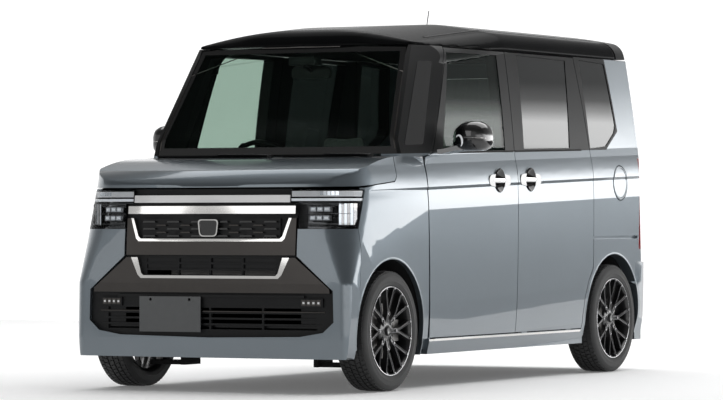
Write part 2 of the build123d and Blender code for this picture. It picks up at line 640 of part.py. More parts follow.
def nose_part(pts, t0, t1, fit=0.0):
    return layer(t0, t1) & front_cut(pts, fit, -700, -300)


bumper = nose - front_cut(MASK, 0, -700, -300)
bumper = bumper - arches - mirror(arches, about=Plane.YZ)
garnish = nose_part(garnish_outline(UPPER_U), 3.0, 20.0, -GLASS_FIT)
garnish2 = nose_part(garnish_outline(LOWER_U), 3.0, 20.0, -GLASS_FIT)
front_garnish = group(garnish, garnish2)
top_bar = nose_part(TOP_BAR, 0.0, 20.0)
trims = [top_bar, nose_part(trim_outline(UPPER_U), 0.0, 20.0),
         nose_part(trim_outline(LOWER_U), 0.0, 20.0)]
light_bar = nose_part(LIGHT_BAR, 3.0, 20.0)
FOG = [(478.0, 438.0), (478.0, 398.0), (594.0, 398.0), (594.0, 438.0)]
fog_lamp = nose_part(FOG, 10.0, 26.0)
# Black grille behind: a shaped plate with slots, open through the meshes.
MASK_FRONT, MASK_BACK = 20.0, 34.0
grille = nose_part(MASK, MASK_FRONT, MASK_BACK, -GLASS_FIT)
grille = grille - fog_lamp - mirror(fog_lamp, about=Plane.YZ)
UPPER_HOLE = (715.0, 806.0, 368.0, 3)
MIDDLE_HOLE = (545.0, 622.0, 344.0, 3)
LOWER_HOLE = (292.0, 392.0, 560.0, 4)
SLAT, POST = 9.0, 10.0
for low, high, half, rows in (UPPER_HOLE, MIDDLE_HOLE, LOWER_HOLE):
    pitch = (high - low + SLAT) / rows
    for i in range(rows):
        z0 = low + i * pitch
        for x0, x1 in ((-half, -half / 2 - POST / 2), (-half / 2 + POST / 2, -POST / 2),
                       (POST / 2, half / 2 - POST / 2), (half / 2 + POST / 2, half)):
            grille = grille - box(x0, x1, -700, -300, z0, z0 + pitch - SLAT)
PLATE_X, PLATE_Z = -206.0, 360.5
PLATE_WIDE, PLATE_HIGH, PLATE_THICK = 330.0, 165.0, 5.0
plate_front = box(PLATE_X - PLATE_WIDE / 2, PLATE_X + PLATE_WIDE / 2, NOSE_Y,
                  NOSE_Y + PLATE_THICK, PLATE_Z - PLATE_HIGH / 2, PLATE_Z + PLATE_HIGH / 2)
bracket = box(PLATE_X - 120, PLATE_X + 120, NOSE_Y + PLATE_THICK, NOSE_Y + 36,
              PLATE_Z - 60, PLATE_Z + 60)
grille = grille + (bracket - body(MASK_FRONT)) + nose_part(
    [(-500.0, 452.0), (-500.0, 440.0), (500.0, 440.0), (500.0, 452.0)], 8.0, 22.0)
front_garnish = front_garnish - grille

# ---- floor, firewall, wheelhouses ---------------------------------------------------
PAN_X = 568.0
KICK_Y = 1990.0          # the floor steps up here, over the rear axle
REAR_PAN_Z = 345.0
PAN_SHEET = 30.0
pan = wall & box(-PAN_X, PAN_X, 120, KICK_Y, 0, SILL_Z + BODY_WALL + 1)
pan += box(-PAN_X, PAN_X, KICK_Y - PAN_SHEET, KICK_Y, SILL_Z, REAR_PAN_Z + PAN_SHEET)
pan += box(-PAN_X, PAN_X, KICK_Y - PAN_SHEET, 2790, REAR_PAN_Z, REAR_PAN_Z + PAN_SHEET)
pan += box(-PAN_X, PAN_X, 2790 - PAN_SHEET, 2790, 240, BUMPER_TOP_Z - 20)
firewall = body(BODY_WALL) & box(-560, 560, 300, 330, 205, 1000)


def tub(y, x0, x1, house_r):
    ring = cyl_x(x0, x1, y, AXLE_Z, house_r + WHEELHOUSE_SHEET) - cyl_x(
        x0 - 1, x1 + 1, y, AXLE_Z, house_r)
    cap = cyl_x(x0 - WHEELHOUSE_SHEET, x0, y, AXLE_Z, house_r + WHEELHOUSE_SHEET)
    half_space = box(x0 - 50, x1 + 50, y - 500, y + 500, SILL_Z + 44, 900)
    return (ring + cap) & half_space


HOUSE_R = ARCH_RADIUS + 2.0
FRONT_HOUSE_R = 346.0    # clear of the tyre's rear corner at full lock
front_tub = tub(0, STEER_LOCK_WALL, 700, FRONT_HOUSE_R)
front_tub += box(STEER_LOCK_WALL - 9, 640, -70, 70, AXLE_Z + FRONT_HOUSE_R + 5, 830)
rear_tub = tub(WHEELBASE, 500, 676, HOUSE_R)
front_tub = front_tub & body(NOSE_WALL + 0.3)
front_tub = front_tub - cyl_z(0, 818, KINGPIN_X, 0, 62)
rear_tub = rear_tub & body(BODY_WALL + 0.3)
rear_tub = rear_tub - box(400, 700, WHEELBASE - 400, WHEELBASE + 400, 0, REAR_PAN_Z)
house_clear = pair(cyl_x(STEER_LOCK_WALL - 1, 900, 0, AXLE_Z, FRONT_HOUSE_R + 0.1))
rear_clear = pair(cyl_x(499, 900, WHEELBASE, AXLE_Z, HOUSE_R + 0.1))
low_clear = pair(box(STEER_LOCK_WALL, 900, -FRONT_HOUSE_R, FRONT_HOUSE_R, 0, AXLE_Z))
low_clear += pair(low_rear)
floor = pan - house_clear - rear_clear - low_clear
fw = firewall - house_clear
RAIL_IN, RAIL_OUT = 300.0, 372.0
front_rails = pair(box(RAIL_IN, RAIL_OUT, -382, 310, 330, 420))
beam = box(-470, 470, -398, -380, 320, 430)
floor = floor + fw + front_rails + beam
link = pair(box(RAIL_IN + 4, STEER_LOCK_WALL - 4, 262, 326, 200, 340))
floor = floor + link
houses = group(both(front_tub - fw - floor), both(rear_tub - floor))
floor_parts = floor.solids()
assert len(floor_parts) == 1

# ---- wheels -------------------------------------------------------------------------
def ring_section(pts):
    return revolve(Plane.XZ * face([(x, z) for x, z in pts]), Axis.X)


def revolve_x(pts):
    """Turn an outline of (along the axle, radius) points about the X axis."""
    return revolve(Plane.XZ * face(pts), Axis.X)


TYRE_OUTLINE = [(-70.0, 211.0), (-80.0, 222.0), (-82.0, 244.0), (-78.0, 266.0),
                (-66.0, 278.0), (-30.0, TYRE_RADIUS), (30.0, TYRE_RADIUS), (66.0, 278.0),
                (78.0, 266.0), (82.0, 244.0), (80.0, 222.0), (70.0, 211.0), (62.0, 198.0),
                (52.0, 198.0), (56.0, 212.0), (70.0, 228.0), (72.0, 246.0), (66.0, 260.0),
                (56.0, 267.0), (-56.0, 267.0), (-66.0, 260.0), (-72.0, 246.0), (-70.0, 228.0),
                (-56.0, 212.0), (-52.0, 198.0), (-62.0, 198.0)]
tyre = revolve_x(TYRE_OUTLINE)
RIM_OUTLINE = [(-70.7, 210.5), (-62.7, 197.5), (62.7, 197.5), (70.7, 210.5), (75.0, 209.5),
               (72.0, 196.0), (42.0, 187.0), (-60.0, 182.0), (-75.0, 196.0), (-75.0, 209.5)]
rim_barrel = revolve_x(RIM_OUTLINE)
HUB_FACE = 38.0
hub_disc = revolve_x([(HUB_FACE, 0.0), (HUB_FACE, 72.0), (58.0, 66.0), (62.0, 34.0), (62.0, 0.0)])
hub_disc = hub_disc - cyl_x(HUB_FACE - 1, 48.0, 0, 0, 30.0)
PCD, LUGS, LUG_R, LUG_HOLE_R = 100.0, 4, 9.0, 7.0
spoke_shape = revolve_x([(HUB_FACE, 50.0), (56.0, 50.0), (66.0, 120.0), (70.0, 192.0), (52.0, 192.0),
                         (48.0, 120.0)])
SPOKE_PAIRS = 8


def spoke_arm(a0, a1, r0, r1, w0, w1):
    """One arm from angle a0 at radius r0 to angle a1 at radius r1, seen along the axle."""
    p0 = Vector(r0 * cos(radians(a0)), r0 * sin(radians(a0)))
    p1 = Vector(r1 * cos(radians(a1)), r1 * sin(radians(a1)))
    d = (p1 - p0).normalized()
    n = Vector(-d.Y, d.X)
    pts = [p0 + n * w0, p1 + n * w1, p1 - n * w1, p0 - n * w0]
    return slab_yz([(p.X, p.Y) for p in pts], 20, 90)


arms = None
for i in range(SPOKE_PAIRS):
    a = 360.0 / SPOKE_PAIRS * i
    for da, db in ((-3.0, -9.0), (3.0, 9.0)):
        s = spoke_arm(a + da, a + db, 50.0, 197.0, 7.0, 6.0)
        arms = s if arms is None else arms + s
arms = arms & spoke_shape
rim = rim_barrel + hub_disc + arms
for i in range(LUGS):
    a = radians(360.0 / LUGS * i + 45.0)
    cy, cz = PCD / 2 * cos(a), PCD / 2 * sin(a)
    rim = rim - cyl_x(0, 100, cy, cz, LUG_HOLE_R)
    rim = rim - cyl_x(50, 100, cy, cz, LUG_R + 3.0)
disc = revolve_x([(2.0, 36.0), (2.0, 128.0), (24.0, 128.0), (24.0, 62.0), (HUB_FACE, 62.0),
                  (HUB_FACE, 0.0), (10.0, 0.0), (10.0, 36.0)])
disc = disc + cyl_x(HUB_FACE, 46.0, 0, 0, 29.0)
STUD_TIP = 66.0
for i in range(LUGS):
    a = radians(360.0 / LUGS * i + 45.0)
    cy, cz = PCD / 2 * cos(a), PCD / 2 * sin(a)
    disc = disc + cyl_x(HUB_FACE - 1, STUD_TIP, cy, cz, 5.8)
drum = revolve_x([(-24.0, 40.0), (-24.0, 104.0), (HUB_FACE, 100.0), (HUB_FACE, 0.0), (20.0, 0.0),
                  (20.0, 90.0), (-10.0, 92.0), (-10.0, 40.0)])
drum = drum + cyl_x(HUB_FACE, 46.0, 0, 0, 29.0)
for i in range(LUGS):
    a = radians(360.0 / LUGS * i + 45.0)
    drum = drum + cyl_x(HUB_FACE - 1, STUD_TIP, PCD / 2 * cos(a), PCD / 2 * sin(a), 5.8)


def at_wheel(shape, y, left):
    placed = Pos(WHEEL_X, y, AXLE_Z) * shape
    return placed if left else right(placed)


# ---- front knuckles with struts -----------------------------------------------------
knuckle = cyl_x(WHEEL_X - 66, WHEEL_X + 1.7, 0, AXLE_Z, 35.0)
knuckle += cyl_x(WHEEL_X + 1.7 - 12, WHEEL_X + 1.7, 0, AXLE_Z, 35.0)
knuckle += box(KINGPIN_X - 16, KINGPIN_X + 70, -26, 26, AXLE_Z - 120, AXLE_Z + 40)
knuckle += cyl_z(AXLE_Z - 10, 628.0, KINGPIN_X, 0, 24.0)
knuckle += cyl_z(628.0, 640.0, KINGPIN_X, 0, 56.0)
SPRING_R = 52.0
knuckle += cyl_z(640.0, 790.0, KINGPIN_X, 0, SPRING_R)
knuckle += cyl_z(790.0, 817.7, KINGPIN_X, 0, 57.0)
caliper = box(WHEEL_X - 40, WHEEL_X + 36, 92, 150, AXLE_Z - 50, AXLE_Z + 50)
caliper = caliper - (Pos(WHEEL_X, 0, AXLE_Z) * revolve_x([(0, 0), (0, 131), (26, 131), (26, 0)]))
caliper += box(KINGPIN_X + 40, WHEEL_X - 38, 0, 120, AXLE_Z - 30, AXLE_Z + 30)
knuckle += caliper
knuckle = knuckle - (Pos(WHEEL_X, 0, AXLE_Z) * revolve_x([(1.7, 0), (1.7, 131), (26, 131), (26, 64),
                                                          (60, 64), (60, 0)]))
ball = cyl_z(AXLE_Z - 150, AXLE_Z - 119, KINGPIN_X, 0, 14.0)
knuckle += ball

# ---- subframe, lower arms, rear axle ------------------------------------------------
subframe = box(-370, 370, -90, 110, 205, 245)
for sx in (1, -1):
    subframe += box(min(sx * 360, sx * 500), max(sx * 360, sx * 500), -30, 30, 108, 130)
    subframe += box(min(sx * 350, sx * 372), max(sx * 350, sx * 372), -60, 90, 108, 329.8)
    subframe += box(min(sx * 490, sx * 560), max(sx * 490, sx * 560), -32, 32, 108, 130.7)
axle_beam = box(-520, 520, WHEELBASE - 50, WHEELBASE + 50, 190, 260)
E_X = 500
rear_axle = cyl_x(-WHEEL_X + 24.3, WHEEL_X - 24.3, WHEELBASE, AXLE_Z, 38.0)
rear_axle += both(cyl_x(WHEEL_X - 24.3, WHEEL_X + 19.7, WHEELBASE, AXLE_Z, 34.0))
for sx in (1, -1):
    x0, x1 = sorted((sx * 390, sx * 450))
    rear_axle += box(x0, x1, 2030, WHEELBASE + 30, 236, 290)
    rear_axle += box(x0, x1, 2030, 2080, 270, REAR_PAN_Z)
engine = box(-280, 280, -300, 210, 300, 860)
engine += box(-RAIL_IN + 0.3, RAIL_IN - 0.3, -40, 40, 360, 410)

# ---- cabin --------------------------------------------------------------------------
FLOOR_TOP = SILL_Z + BODY_WALL
dash = slab_yz([(335.0, 640.0), (330.3, 999.0), (400.0, 1050.0), (560.0, 1030.0), (640.0, 960.0),
                (600.0, 700.0), (470.0, 560.0), (330.3, 560.0)], -600, 600)
dash = dash & body(BODY_WALL + 3.0)


def seat(x0, x1, y0, cushion, height, back_lean, base_z, stand_y):
    pad = slab_yz([(y0, base_z + 30), (y0, base_z + 150), (y0 + cushion, base_z + 130),
                   (y0 + cushion, base_z)], x0, x1)
    back = slab_yz([(y0 + cushion - 30, base_z + 90), (y0 + cushion + 110, base_z + 90),
                    (y0 + cushion + 110 + back_lean, base_z + height),
                    (y0 + cushion + 20 + back_lean, base_z + height)], x0, x1)
    head = slab_yz([(y0 + cushion + 24 + back_lean, base_z + height - 5),
                    (y0 + cushion + 104 + back_lean, base_z + height - 5),
                    (y0 + cushion + 120 + back_lean, base_z + height + 190),
                    (y0 + cushion + 40 + back_lean, base_z + height + 190)],
                   (x0 + x1) / 2 - 125, (x0 + x1) / 2 + 125)
    stand = box(x0 + 60, x1 - 60, y0 + 60, stand_y, FLOOR_TOP, base_z + 60)
    return pad + back + head + stand


FRONT_SEAT_BASE = 420.0
front_seats = both(seat(65.0, 560.0, 820.0, 470.0, 620.0, 110.0, FRONT_SEAT_BASE, 1250.0))
rear_seats = both(seat(10.0, 480.0, 1830.0, 450.0, 600.0, 90.0, 430.0,
                       KICK_Y - PAN_SHEET - 1))

WHEEL_CX = -330.0
STEER_Y, STEER_Z, COLUMN_TILT = 690.0, 1045.0, 62.0
steer_frame = Pos(WHEEL_CX, STEER_Y, STEER_Z) * Rot(-COLUMN_TILT, 0, 0)
STEER_R = 178.0
steer_ring = Torus(STEER_R - 15.0, 15.0)
steer_hub = Pos(0, 0, -14) * Cylinder(62.0, 36.0)
steer_arms = Box(2 * STEER_R - 34, 34, 14) + Pos(0, -80, 0) * Box(40, 160 - 4, 14)
steer_shaft = Pos(0, 0, -32 - 70) * Cylinder(22.0, 140.0)
steering_wheel = steer_frame * (steer_ring + steer_hub + steer_arms + steer_shaft)
dash = dash - steer_frame * (Pos(0, 0, -100) * Cylinder(22.2, 300.0))

mirror_in = box(-110, 110, 560, 585, 1480, 1550) + box(-12, 12, 380, 562, 1530, 1548)
mirror_in = mirror_in & body(GLASS_INSET + GLASS_THICK + 0.3)

# ---- outside mirrors, wipers, aerial ------------------------------------------------
MIRROR_Z0, MIRROR_Z1 = 1126.0, 1270.0
MIRROR_TIP_X = 932.0
mirror_plan = [(738.0, 640.0), (750.0, 596.0), (812.0, 566.0), (880.0, 570.0),
               (MIRROR_TIP_X - 8, 602.0), (MIRROR_TIP_X, 676.0), (912.0, 690.0),
               (760.0, 696.0), (738.0, 684.0)]
mirror_front = [(736.0, MIRROR_Z0), (908.0, MIRROR_Z0), (MIRROR_TIP_X + 2, 1146.0),
                (MIRROR_TIP_X + 2, 1216.0), (912.0, 1256.0), (868.0, MIRROR_Z1),
                (800.0, MIRROR_Z1), (760.0, 1252.0), (736.0, 1206.0)]
mirror_head = slab_xy(mirror_plan, MIRROR_Z0, MIRROR_Z1) & front_cut(mirror_front, 0, 550, 710)
mirror_arm = box(700, 745, 560, 660, MIRROR_Z0 + 4, MIRROR_Z0 + 60)
side_mirror = (mirror_head + mirror_arm) - outer
aerial = Pos(0, 1804, ROOF_HEIGHT - 4) * Cylinder(14, 1)
aerial = Pos(0, 1804, ROOF_HEIGHT + 6) * Cone(14, 7, 13) + Pos(0, 1817, 1834) * Rot(-17, 0, 0) * Cylinder(
    2.5, 84)
aerial = aerial - outer


def wiper(x0, x1, spindle_x):
    arm = box(x0, x1, 70, 84, COWL_Z + 2, COWL_Z + 14)
    return (arm + cyl_z(COWL_Z - 30, COWL_Z + 8, spindle_x, 77, 9.0)) - cowl


wipers = group(wiper(-600, 60, 40), wiper(90, 600, 580))

sill_trim = box(SIDE_X - 30, SIDE_X, 410, 2148, 221, 231)
sill_trim = sill_trim & outer
side_left = side_left - sill_trim
side_right = side_right - right(sill_trim)
rear_wiper = box(-20, 260, 2907, 2919, 1106, 1120) + cyl_y(2880, 2912, 0, 1113, 12.0)
rear_wiper = rear_wiper - gate
plate_rear = box(-165, 165, 2900, 2923, 640, 805) - gate

NODES = {
    "floor": floor, "wheelhouses": houses, "side_frame_left": side_left, "side_frame_right": side_right,
    "roof_panel": roof, "front_wings": both(wing), "front_bumper": bumper,
    "rear_bumper": rear_bumper, "windscreen": windscreen, "quarter_glass": both(quarter_light),
    "sliding_doors": both(slide_door), "sliding_door_glass": both(slide_light),
    "headlamps": group(both(headlamp), light_bar), "tail_lamps": both(tail_lamp), "front_grille": grille,
    "front_garnish": front_garnish, "fog_lamps": both(fog_lamp), "front_plate": plate_front,
    "cowl_panel": cowl, "wipers": wipers, "aerial": aerial, "bright_trims": group(both(sill_trim), *trims),
    "dashboard": dash, "front_seats": front_seats, "rear_seats": rear_seats,
    "engine_block": engine, "front_subframe": subframe, "rear_axle": rear_axle,
    "inner_mirror": mirror_in, "steering_wheel": steering_wheel,
    "knuckle_left": knuckle, "knuckle_right": right(knuckle),
    "door_left": door, "door_right": right(door),
    "door_glass_left": light, "door_glass_right": right(light),
    "mirror_left": side_mirror, "mirror_right": right(side_mirror),
    "door_handle_left": bars[0], "door_handle_right": right(bars[0]),
    "slide_handles": both(bars[1]),
    "bonnet": bonnet, "tailgate": gate, "tailgate_glass": gate_light,
    "rear_plate": plate_rear, "rear_wiper": rear_wiper, "fuel_lid": fuel_lid,
}
for tag, y, left in (("fl", 0, True), ("fr", 0, False), ("rl", WHEELBASE, True),
                     ("rr", WHEELBASE, False)):
    NODES["rim_" + tag] = at_wheel(rim, y, left)
    NODES["tyre_" + tag] = at_wheel(tyre, y, left)
    NODES[("disc_" if y == 0 else "drum_") + tag] = at_wheel(disc if y == 0 else drum, y, left)

for name, shape in NODES.items():
    print(name, len(shape.solids()))
    out(shape, name)
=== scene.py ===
"""Kei car: finishes, wheels, lamps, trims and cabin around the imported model."""
from math import cos, pi, radians, sin

import bmesh
import bpy
from mathutils import Matrix, Vector
from mathutils.bvhtree import BVHTree


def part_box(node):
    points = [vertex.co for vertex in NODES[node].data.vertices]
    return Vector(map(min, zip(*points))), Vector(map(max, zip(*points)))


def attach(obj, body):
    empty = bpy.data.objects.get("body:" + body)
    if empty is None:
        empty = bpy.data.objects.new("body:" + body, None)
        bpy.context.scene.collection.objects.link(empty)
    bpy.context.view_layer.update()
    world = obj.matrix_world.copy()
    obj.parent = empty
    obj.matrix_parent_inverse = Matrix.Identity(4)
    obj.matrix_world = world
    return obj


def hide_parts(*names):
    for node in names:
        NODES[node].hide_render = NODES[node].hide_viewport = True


bl_info = {
    "name": "Kei car dressing",
    "version": (1, 0, 0),
    "blender": (4, 5, 0),
    "location": "3D View > Sidebar > Kei car",
    "description": "Builds the finishes, wheels, lamps, trims and cabin of a kei car",
    "category": "Object",
}

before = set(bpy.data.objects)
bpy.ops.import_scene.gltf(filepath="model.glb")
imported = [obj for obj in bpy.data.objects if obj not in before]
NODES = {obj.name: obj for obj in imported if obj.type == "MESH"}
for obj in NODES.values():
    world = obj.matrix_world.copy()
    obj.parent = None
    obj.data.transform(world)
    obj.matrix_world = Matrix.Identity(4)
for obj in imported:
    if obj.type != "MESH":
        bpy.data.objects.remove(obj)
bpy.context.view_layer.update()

MM = 0.001
MID_Y = 1257.5          # millimetres from the front axle to the middle of the length
AXLE_Z = 281.0
WHEEL_X = 652.5
WHEELBASE = 2520.0
SIDES = (("left", 1.0), ("right", -1.0))
# Lean of the shading on the sides: the height with none, in metres, and the lean for each
# metre above it. The side glass has its own height, and a share more.
BARREL_FOOT, BARREL_RATE = 1.25, 0.36
GLASS_FOOT, GLASS_CURVE = 1.39, 1.3
# The belt line under the side windows: its height where the front door starts, and its rise.
BELT_Z, BELT_Y, BELT_RISE = 1115.5, 463.0, 0.0223
ROOF_LINE = 1640.0      # above this the body is black
# Corner, place behind the front axle, side.
WHEELS = (("fl", 0.0, 1.0), ("fr", 0.0, -1.0), ("rl", WHEELBASE, 1.0), ("rr", WHEELBASE, -1.0))


def at(x, y, z):
    """A point given in millimetres with y measured rearwards from the front axle."""
    return Vector((x * MM, (y - MID_Y) * MM, z * MM))


# ---- shader expressions ---------------------------------------------------------------
class Value:
    """A socket that adds its Math nodes when it is used in an expression."""

    def __init__(self, nodes, socket):
        self.nodes, self.socket = nodes, socket

    def math(self, operation, *others):
        values = {i: v for i, v in enumerate((self,) + others)}
        return self.nodes.node("ShaderNodeMath", values, operation=operation)

    def __add__(self, other):
        return self.math("ADD", other)

    __radd__ = __add__

    def __mul__(self, other):
        return self.math("MULTIPLY", other)

    __rmul__ = __mul__

    def __sub__(self, other):
        return self.math("SUBTRACT", other)

    def __rsub__(self, other):
        return self.nodes.node("ShaderNodeMath", {0: other, 1: self}, operation="SUBTRACT")

    def low(self, other):
        return self.math("MINIMUM", other)

    def high(self, other):
        return self.math("MAXIMUM", other)

    def step(self, width):
        """0 below zero and 1 above it, over a soft edge of that width."""
        return self.nodes.node("ShaderNodeMapRange",
                                {"Value": self, "From Min": -width, "From Max": width})


class Nodes:
    """A node tree that is built up with node()."""

    def __init__(self, tree):
        self.tree = tree

    def put(self, socket, value):
        if isinstance(value, Value):
            self.tree.links.new(value.socket, socket)
        else:
            socket.default_value = value

    def node(self, kind, values=None, out=0, stops=None, **settings):
        """Add a node with its settings, a ramp's stops, and its sockets' values or links."""
        made = self.tree.nodes.new(kind)
        for key, value in settings.items():
            setattr(made, key, value)
        if stops:
            ramp = made.color_ramp
            while len(ramp.elements) < len(stops):
                ramp.elements.new(0.5)
            for element, (position, level) in zip(ramp.elements, stops):
                element.position, element.color = position, (level, level, level, 1.0)
        for key, value in (values or {}).items():
            self.put(made.inputs[key], value)
        return Value(self, made.outputs[out])

    def split(self, vector):
        """The x, y and z of a vector."""
        apart = self.tree.nodes.new("ShaderNodeSeparateXYZ")
        self.put(apart.inputs[0], vector)
        return [Value(self, socket) for socket in apart.outputs]


class Finish(Nodes):
    """A material on Object coordinates."""

    made = {}

    def __init__(self, name):
        self.material = bpy.data.materials.new(name)
        self.material.use_nodes = True
        super().__init__(self.material.node_tree)
        self.shader = self.tree.nodes["Principled BSDF"]
        self.output = self.tree.nodes["Material Output"]
        self.place = self.node("ShaderNodeTexCoord", out="Object")
        self.x, self.y, self.z = self.split(self.place)
        Finish.made[name] = self.material

    def noise(self, scale, detail=2.0, rough=0.5):
        return self.node("ShaderNodeTexNoise", {"Vector": self.place, "Scale": scale,
                                                "Detail": detail, "Roughness": rough})

    def blend(self, share, a, b):
        """Colour a where share is 0, b where it is 1."""
        a = (*a, 1.0) if isinstance(a, tuple) and len(a) == 3 else a
        b = (*b, 1.0) if isinstance(b, tuple) and len(b) == 3 else b
        return self.node("ShaderNodeMix", {0: share, 6: a, 7: b}, out=2, data_type="RGBA")

    def bump(self, height, strength, distance, normal=None):
        values = {"Height": height, "Strength": strength, "Distance": distance}
        if normal is not None:
            values["Normal"] = normal
        return self.node("ShaderNodeBump", values)

    def barrel(self, share=1.0, foot=BARREL_FOOT):
        """Shading normals that lean up with height, as on a side curved like a barrel."""
        normal = self.node("ShaderNodeNewGeometry", out=1)
        lean = self.node("ShaderNodeCombineXYZ", {
            2: (self.z - foot) * BARREL_RATE * share})
        total = self.node("ShaderNodeVectorMath", {0: normal, 1: lean}, operation="ADD")
        return self.node("ShaderNodeVectorMath", {0: total}, operation="NORMALIZE")

    def set(self, **values):
        """Principled sockets by name, with _ for a space."""
        for key, value in values.items():
            socket = self.shader.inputs[key.replace("_", " ")]
            if isinstance(value, tuple) and len(value) == 3:
                value = (*value, 1.0)
            self.put(socket, value)


def tone(color, factor):
    return tuple(min(1.0, c * factor) for c in color)


# ---- finishes -------------------------------------------------------------------------
PAINT_METAL, PAINT_ROUGH = 0.82, 0.30


def paint_layers(finish, look, black=None):
    """Metallic coat with fine flake, changing to gloss black where black is 1."""
    color = tuple(look.paint)
    flake = finish.noise(900.0, 2.0, 0.6)
    cloud = finish.noise(3.0, 2.0)
    shade = finish.blend(flake * 0.7 + cloud * 0.3, tone(color, 0.86), tone(color, 1.16))
    metal, rough, coat = PAINT_METAL, PAINT_ROUGH, 1.0
    normal = finish.bump(finish.noise(260.0, 1.0), 0.03, 0.0004,
                         None if black is None else finish.barrel(black))
    if black is not None:
        shade = finish.blend(black, shade, (0.0045, 0.0048, 0.0052))
        metal = (1.0 - black) * PAINT_METAL
        rough = PAINT_ROUGH + black * 0.10
        coat = 1.0 - black
    finish.set(Base_Color=shade, Metallic=metal, Roughness=rough, Normal=normal, IOR=1.4,
               Specular_IOR_Level=0.25, Coat_Weight=coat, Coat_Roughness=0.02, Coat_IOR=1.5)


def y_at(y):
    return (y - MID_Y) * MM


def belt(finish):
    """Height above the belt line under the side windows."""
    return finish.z - BELT_Z * MM - (finish.y - y_at(BELT_Y)) * BELT_RISE


# The black of the side windows ends at the rear in a kick up and a leaning edge: y, z, slope.
REAR_KICK, REAR_EDGE = (2463.0, 1160.0, 0.615), (2617.0, 1290.0, 0.193)
COLOUR_EDGE = 0.0008    # soft edge between paint and black, in metres


def painted_panels(look):
    """The body's paint, alone and with the black that starts at the belt or the roof line."""
    paint_layers(Finish("body_paint"), look)
    doors = Finish("door_paint")
    paint_layers(doors, look, belt(doors).step(COLOUR_EDGE))
    sides = Finish("side_paint")
    y, z, slope = REAR_KICK
    kick = sides.z - z * MM - (sides.y - y_at(y)) * slope
    y, z, slope = REAR_EDGE
    edge = (y_at(y) - sides.y) - (sides.z - z * MM) * slope
    cabin = belt(sides).low(kick).low(edge)
    paint_layers(sides, look, cabin.high(sides.z - ROOF_LINE * MM).step(COLOUR_EDGE))
    gate = Finish("gate_paint")
    paint_layers(gate, look, (gate.z - ROOF_LINE * MM).step(COLOUR_EDGE))


def black_panels():
    black = (0.0035, 0.0037, 0.004), (0.006, 0.0062, 0.0066)
    roof = Finish("roof_black")
    roof.set(Base_Color=roof.blend(roof.noise(3.0), *black), Roughness=0.24, IOR=1.06,
             Coat_Weight=0.03, Coat_Roughness=0.05,
             Normal=roof.bump(roof.noise(240.0, 1.0), 0.03, 0.0004))

    gloss = Finish("gloss_black")
    ripple = gloss.bump(gloss.noise(240.0, 1.0), 0.03, 0.0004)
    gloss.set(Base_Color=gloss.blend(gloss.noise(4.0), *black), Roughness=0.12, Normal=ripple,
              Coat_Weight=1.0, Coat_Roughness=0.02)


def plastics():
    """Name, colour, roughness, scale and strength of the grain."""
    for name, color, rough, scale, strength in (
            ("grained_plastic", (0.009, 0.0094, 0.010), 0.55, 900.0, 0.35),
            ("satin_plastic", (0.007, 0.0073, 0.008), 0.32, 600.0, 0.08),
            ("rubber_trim", (0.008, 0.008, 0.0085), 0.62, 1400.0, 0.2),
            ("dash_skin", (0.013, 0.0135, 0.014), 0.62, 700.0, 0.5),
            ("underbody_coat", (0.012, 0.012, 0.0125), 0.75, 220.0, 0.6)):
        plastic = Finish(name)
        grain = plastic.noise(scale, 3.0, 0.6)
        plastic.set(Base_Color=plastic.blend(plastic.noise(6.0, 3.0), tone(color, 0.8),
                                             tone(color, 1.25)),
                    Roughness=grain * 0.2 + (rough - 0.1), Specular_IOR_Level=0.22,
                    Normal=plastic.bump(grain, strength, 0.0005))


def metals():
    for name, color, rough in (("chrome", (0.80, 0.79, 0.77), 0.06),
                               ("satin_chrome", (0.62, 0.60, 0.585), 0.2),
                               ("gunmetal", (0.062, 0.058, 0.055), 0.30),
                               ("machined_alloy", (0.50, 0.50, 0.51), 0.22),
                               ("spoke_alloy", (0.17, 0.17, 0.175), 0.26),
                               ("cast_steel", (0.22, 0.215, 0.21), 0.45),
                               ("mirror_glass", (0.7, 0.72, 0.74), 0.015)):
        metal = Finish(name)
        streak = metal.noise(500.0, 2.0)
        metal.set(Base_Color=metal.blend(metal.noise(20.0), tone(color, 0.93), tone(color, 1.05)),
                  Metallic=1.0, Roughness=streak * 0.06 + max(rough - 0.03, 0.0))


def wheel_finishes():
    wheel = Finish("wheel_black")
    wheel.set(Base_Color=wheel.blend(wheel.noise(30.0), (0.006, 0.006, 0.0065),
                                     (0.012, 0.012, 0.013)),
              Roughness=0.28, Coat_Weight=0.6, Coat_Roughness=0.08)

    tyre = Finish("tyre_rubber")
    fine = tyre.noise(700.0, 4.0, 0.65)
    tyre.set(Base_Color=tyre.blend(tyre.noise(14.0, 3.0), (0.016, 0.0165, 0.017),
                                   (0.030, 0.0305, 0.031)),
             Roughness=fine * 0.25 + 0.45, Normal=tyre.bump(fine, 0.25, 0.0006))


def seat_cloth():
    """A woven cloth, with a faint painted glow that stands in for the light inside the cabin."""
    cloth = Finish("seat_cloth")
    warp, weft = (cloth.node("ShaderNodeTexWave", {"Vector": cloth.place, "Scale": 260.0,
                                                   "Distortion": 0.6}, bands_direction=way)
                  for way in "XZ")
    weave = warp * weft
    # The emission is a painted glow: the cloth is no lamp.
    cloth.set(Base_Color=cloth.blend(weave * 0.6 + cloth.noise(60.0) * 0.4,
                                     (0.050, 0.056, 0.054), (0.115, 0.126, 0.120)),
              Roughness=0.88, Normal=cloth.bump(weave, 0.35, 0.0008), Sheen_Weight=0.35,
              Sheen_Roughness=0.45, Emission_Color=(0.50, 0.58, 0.54),
              Emission_Strength=0.03)


CLEAR_TINT, CLEAR_BODY = (0.80, 0.87, 0.83), (0.012, 0.016, 0.015)


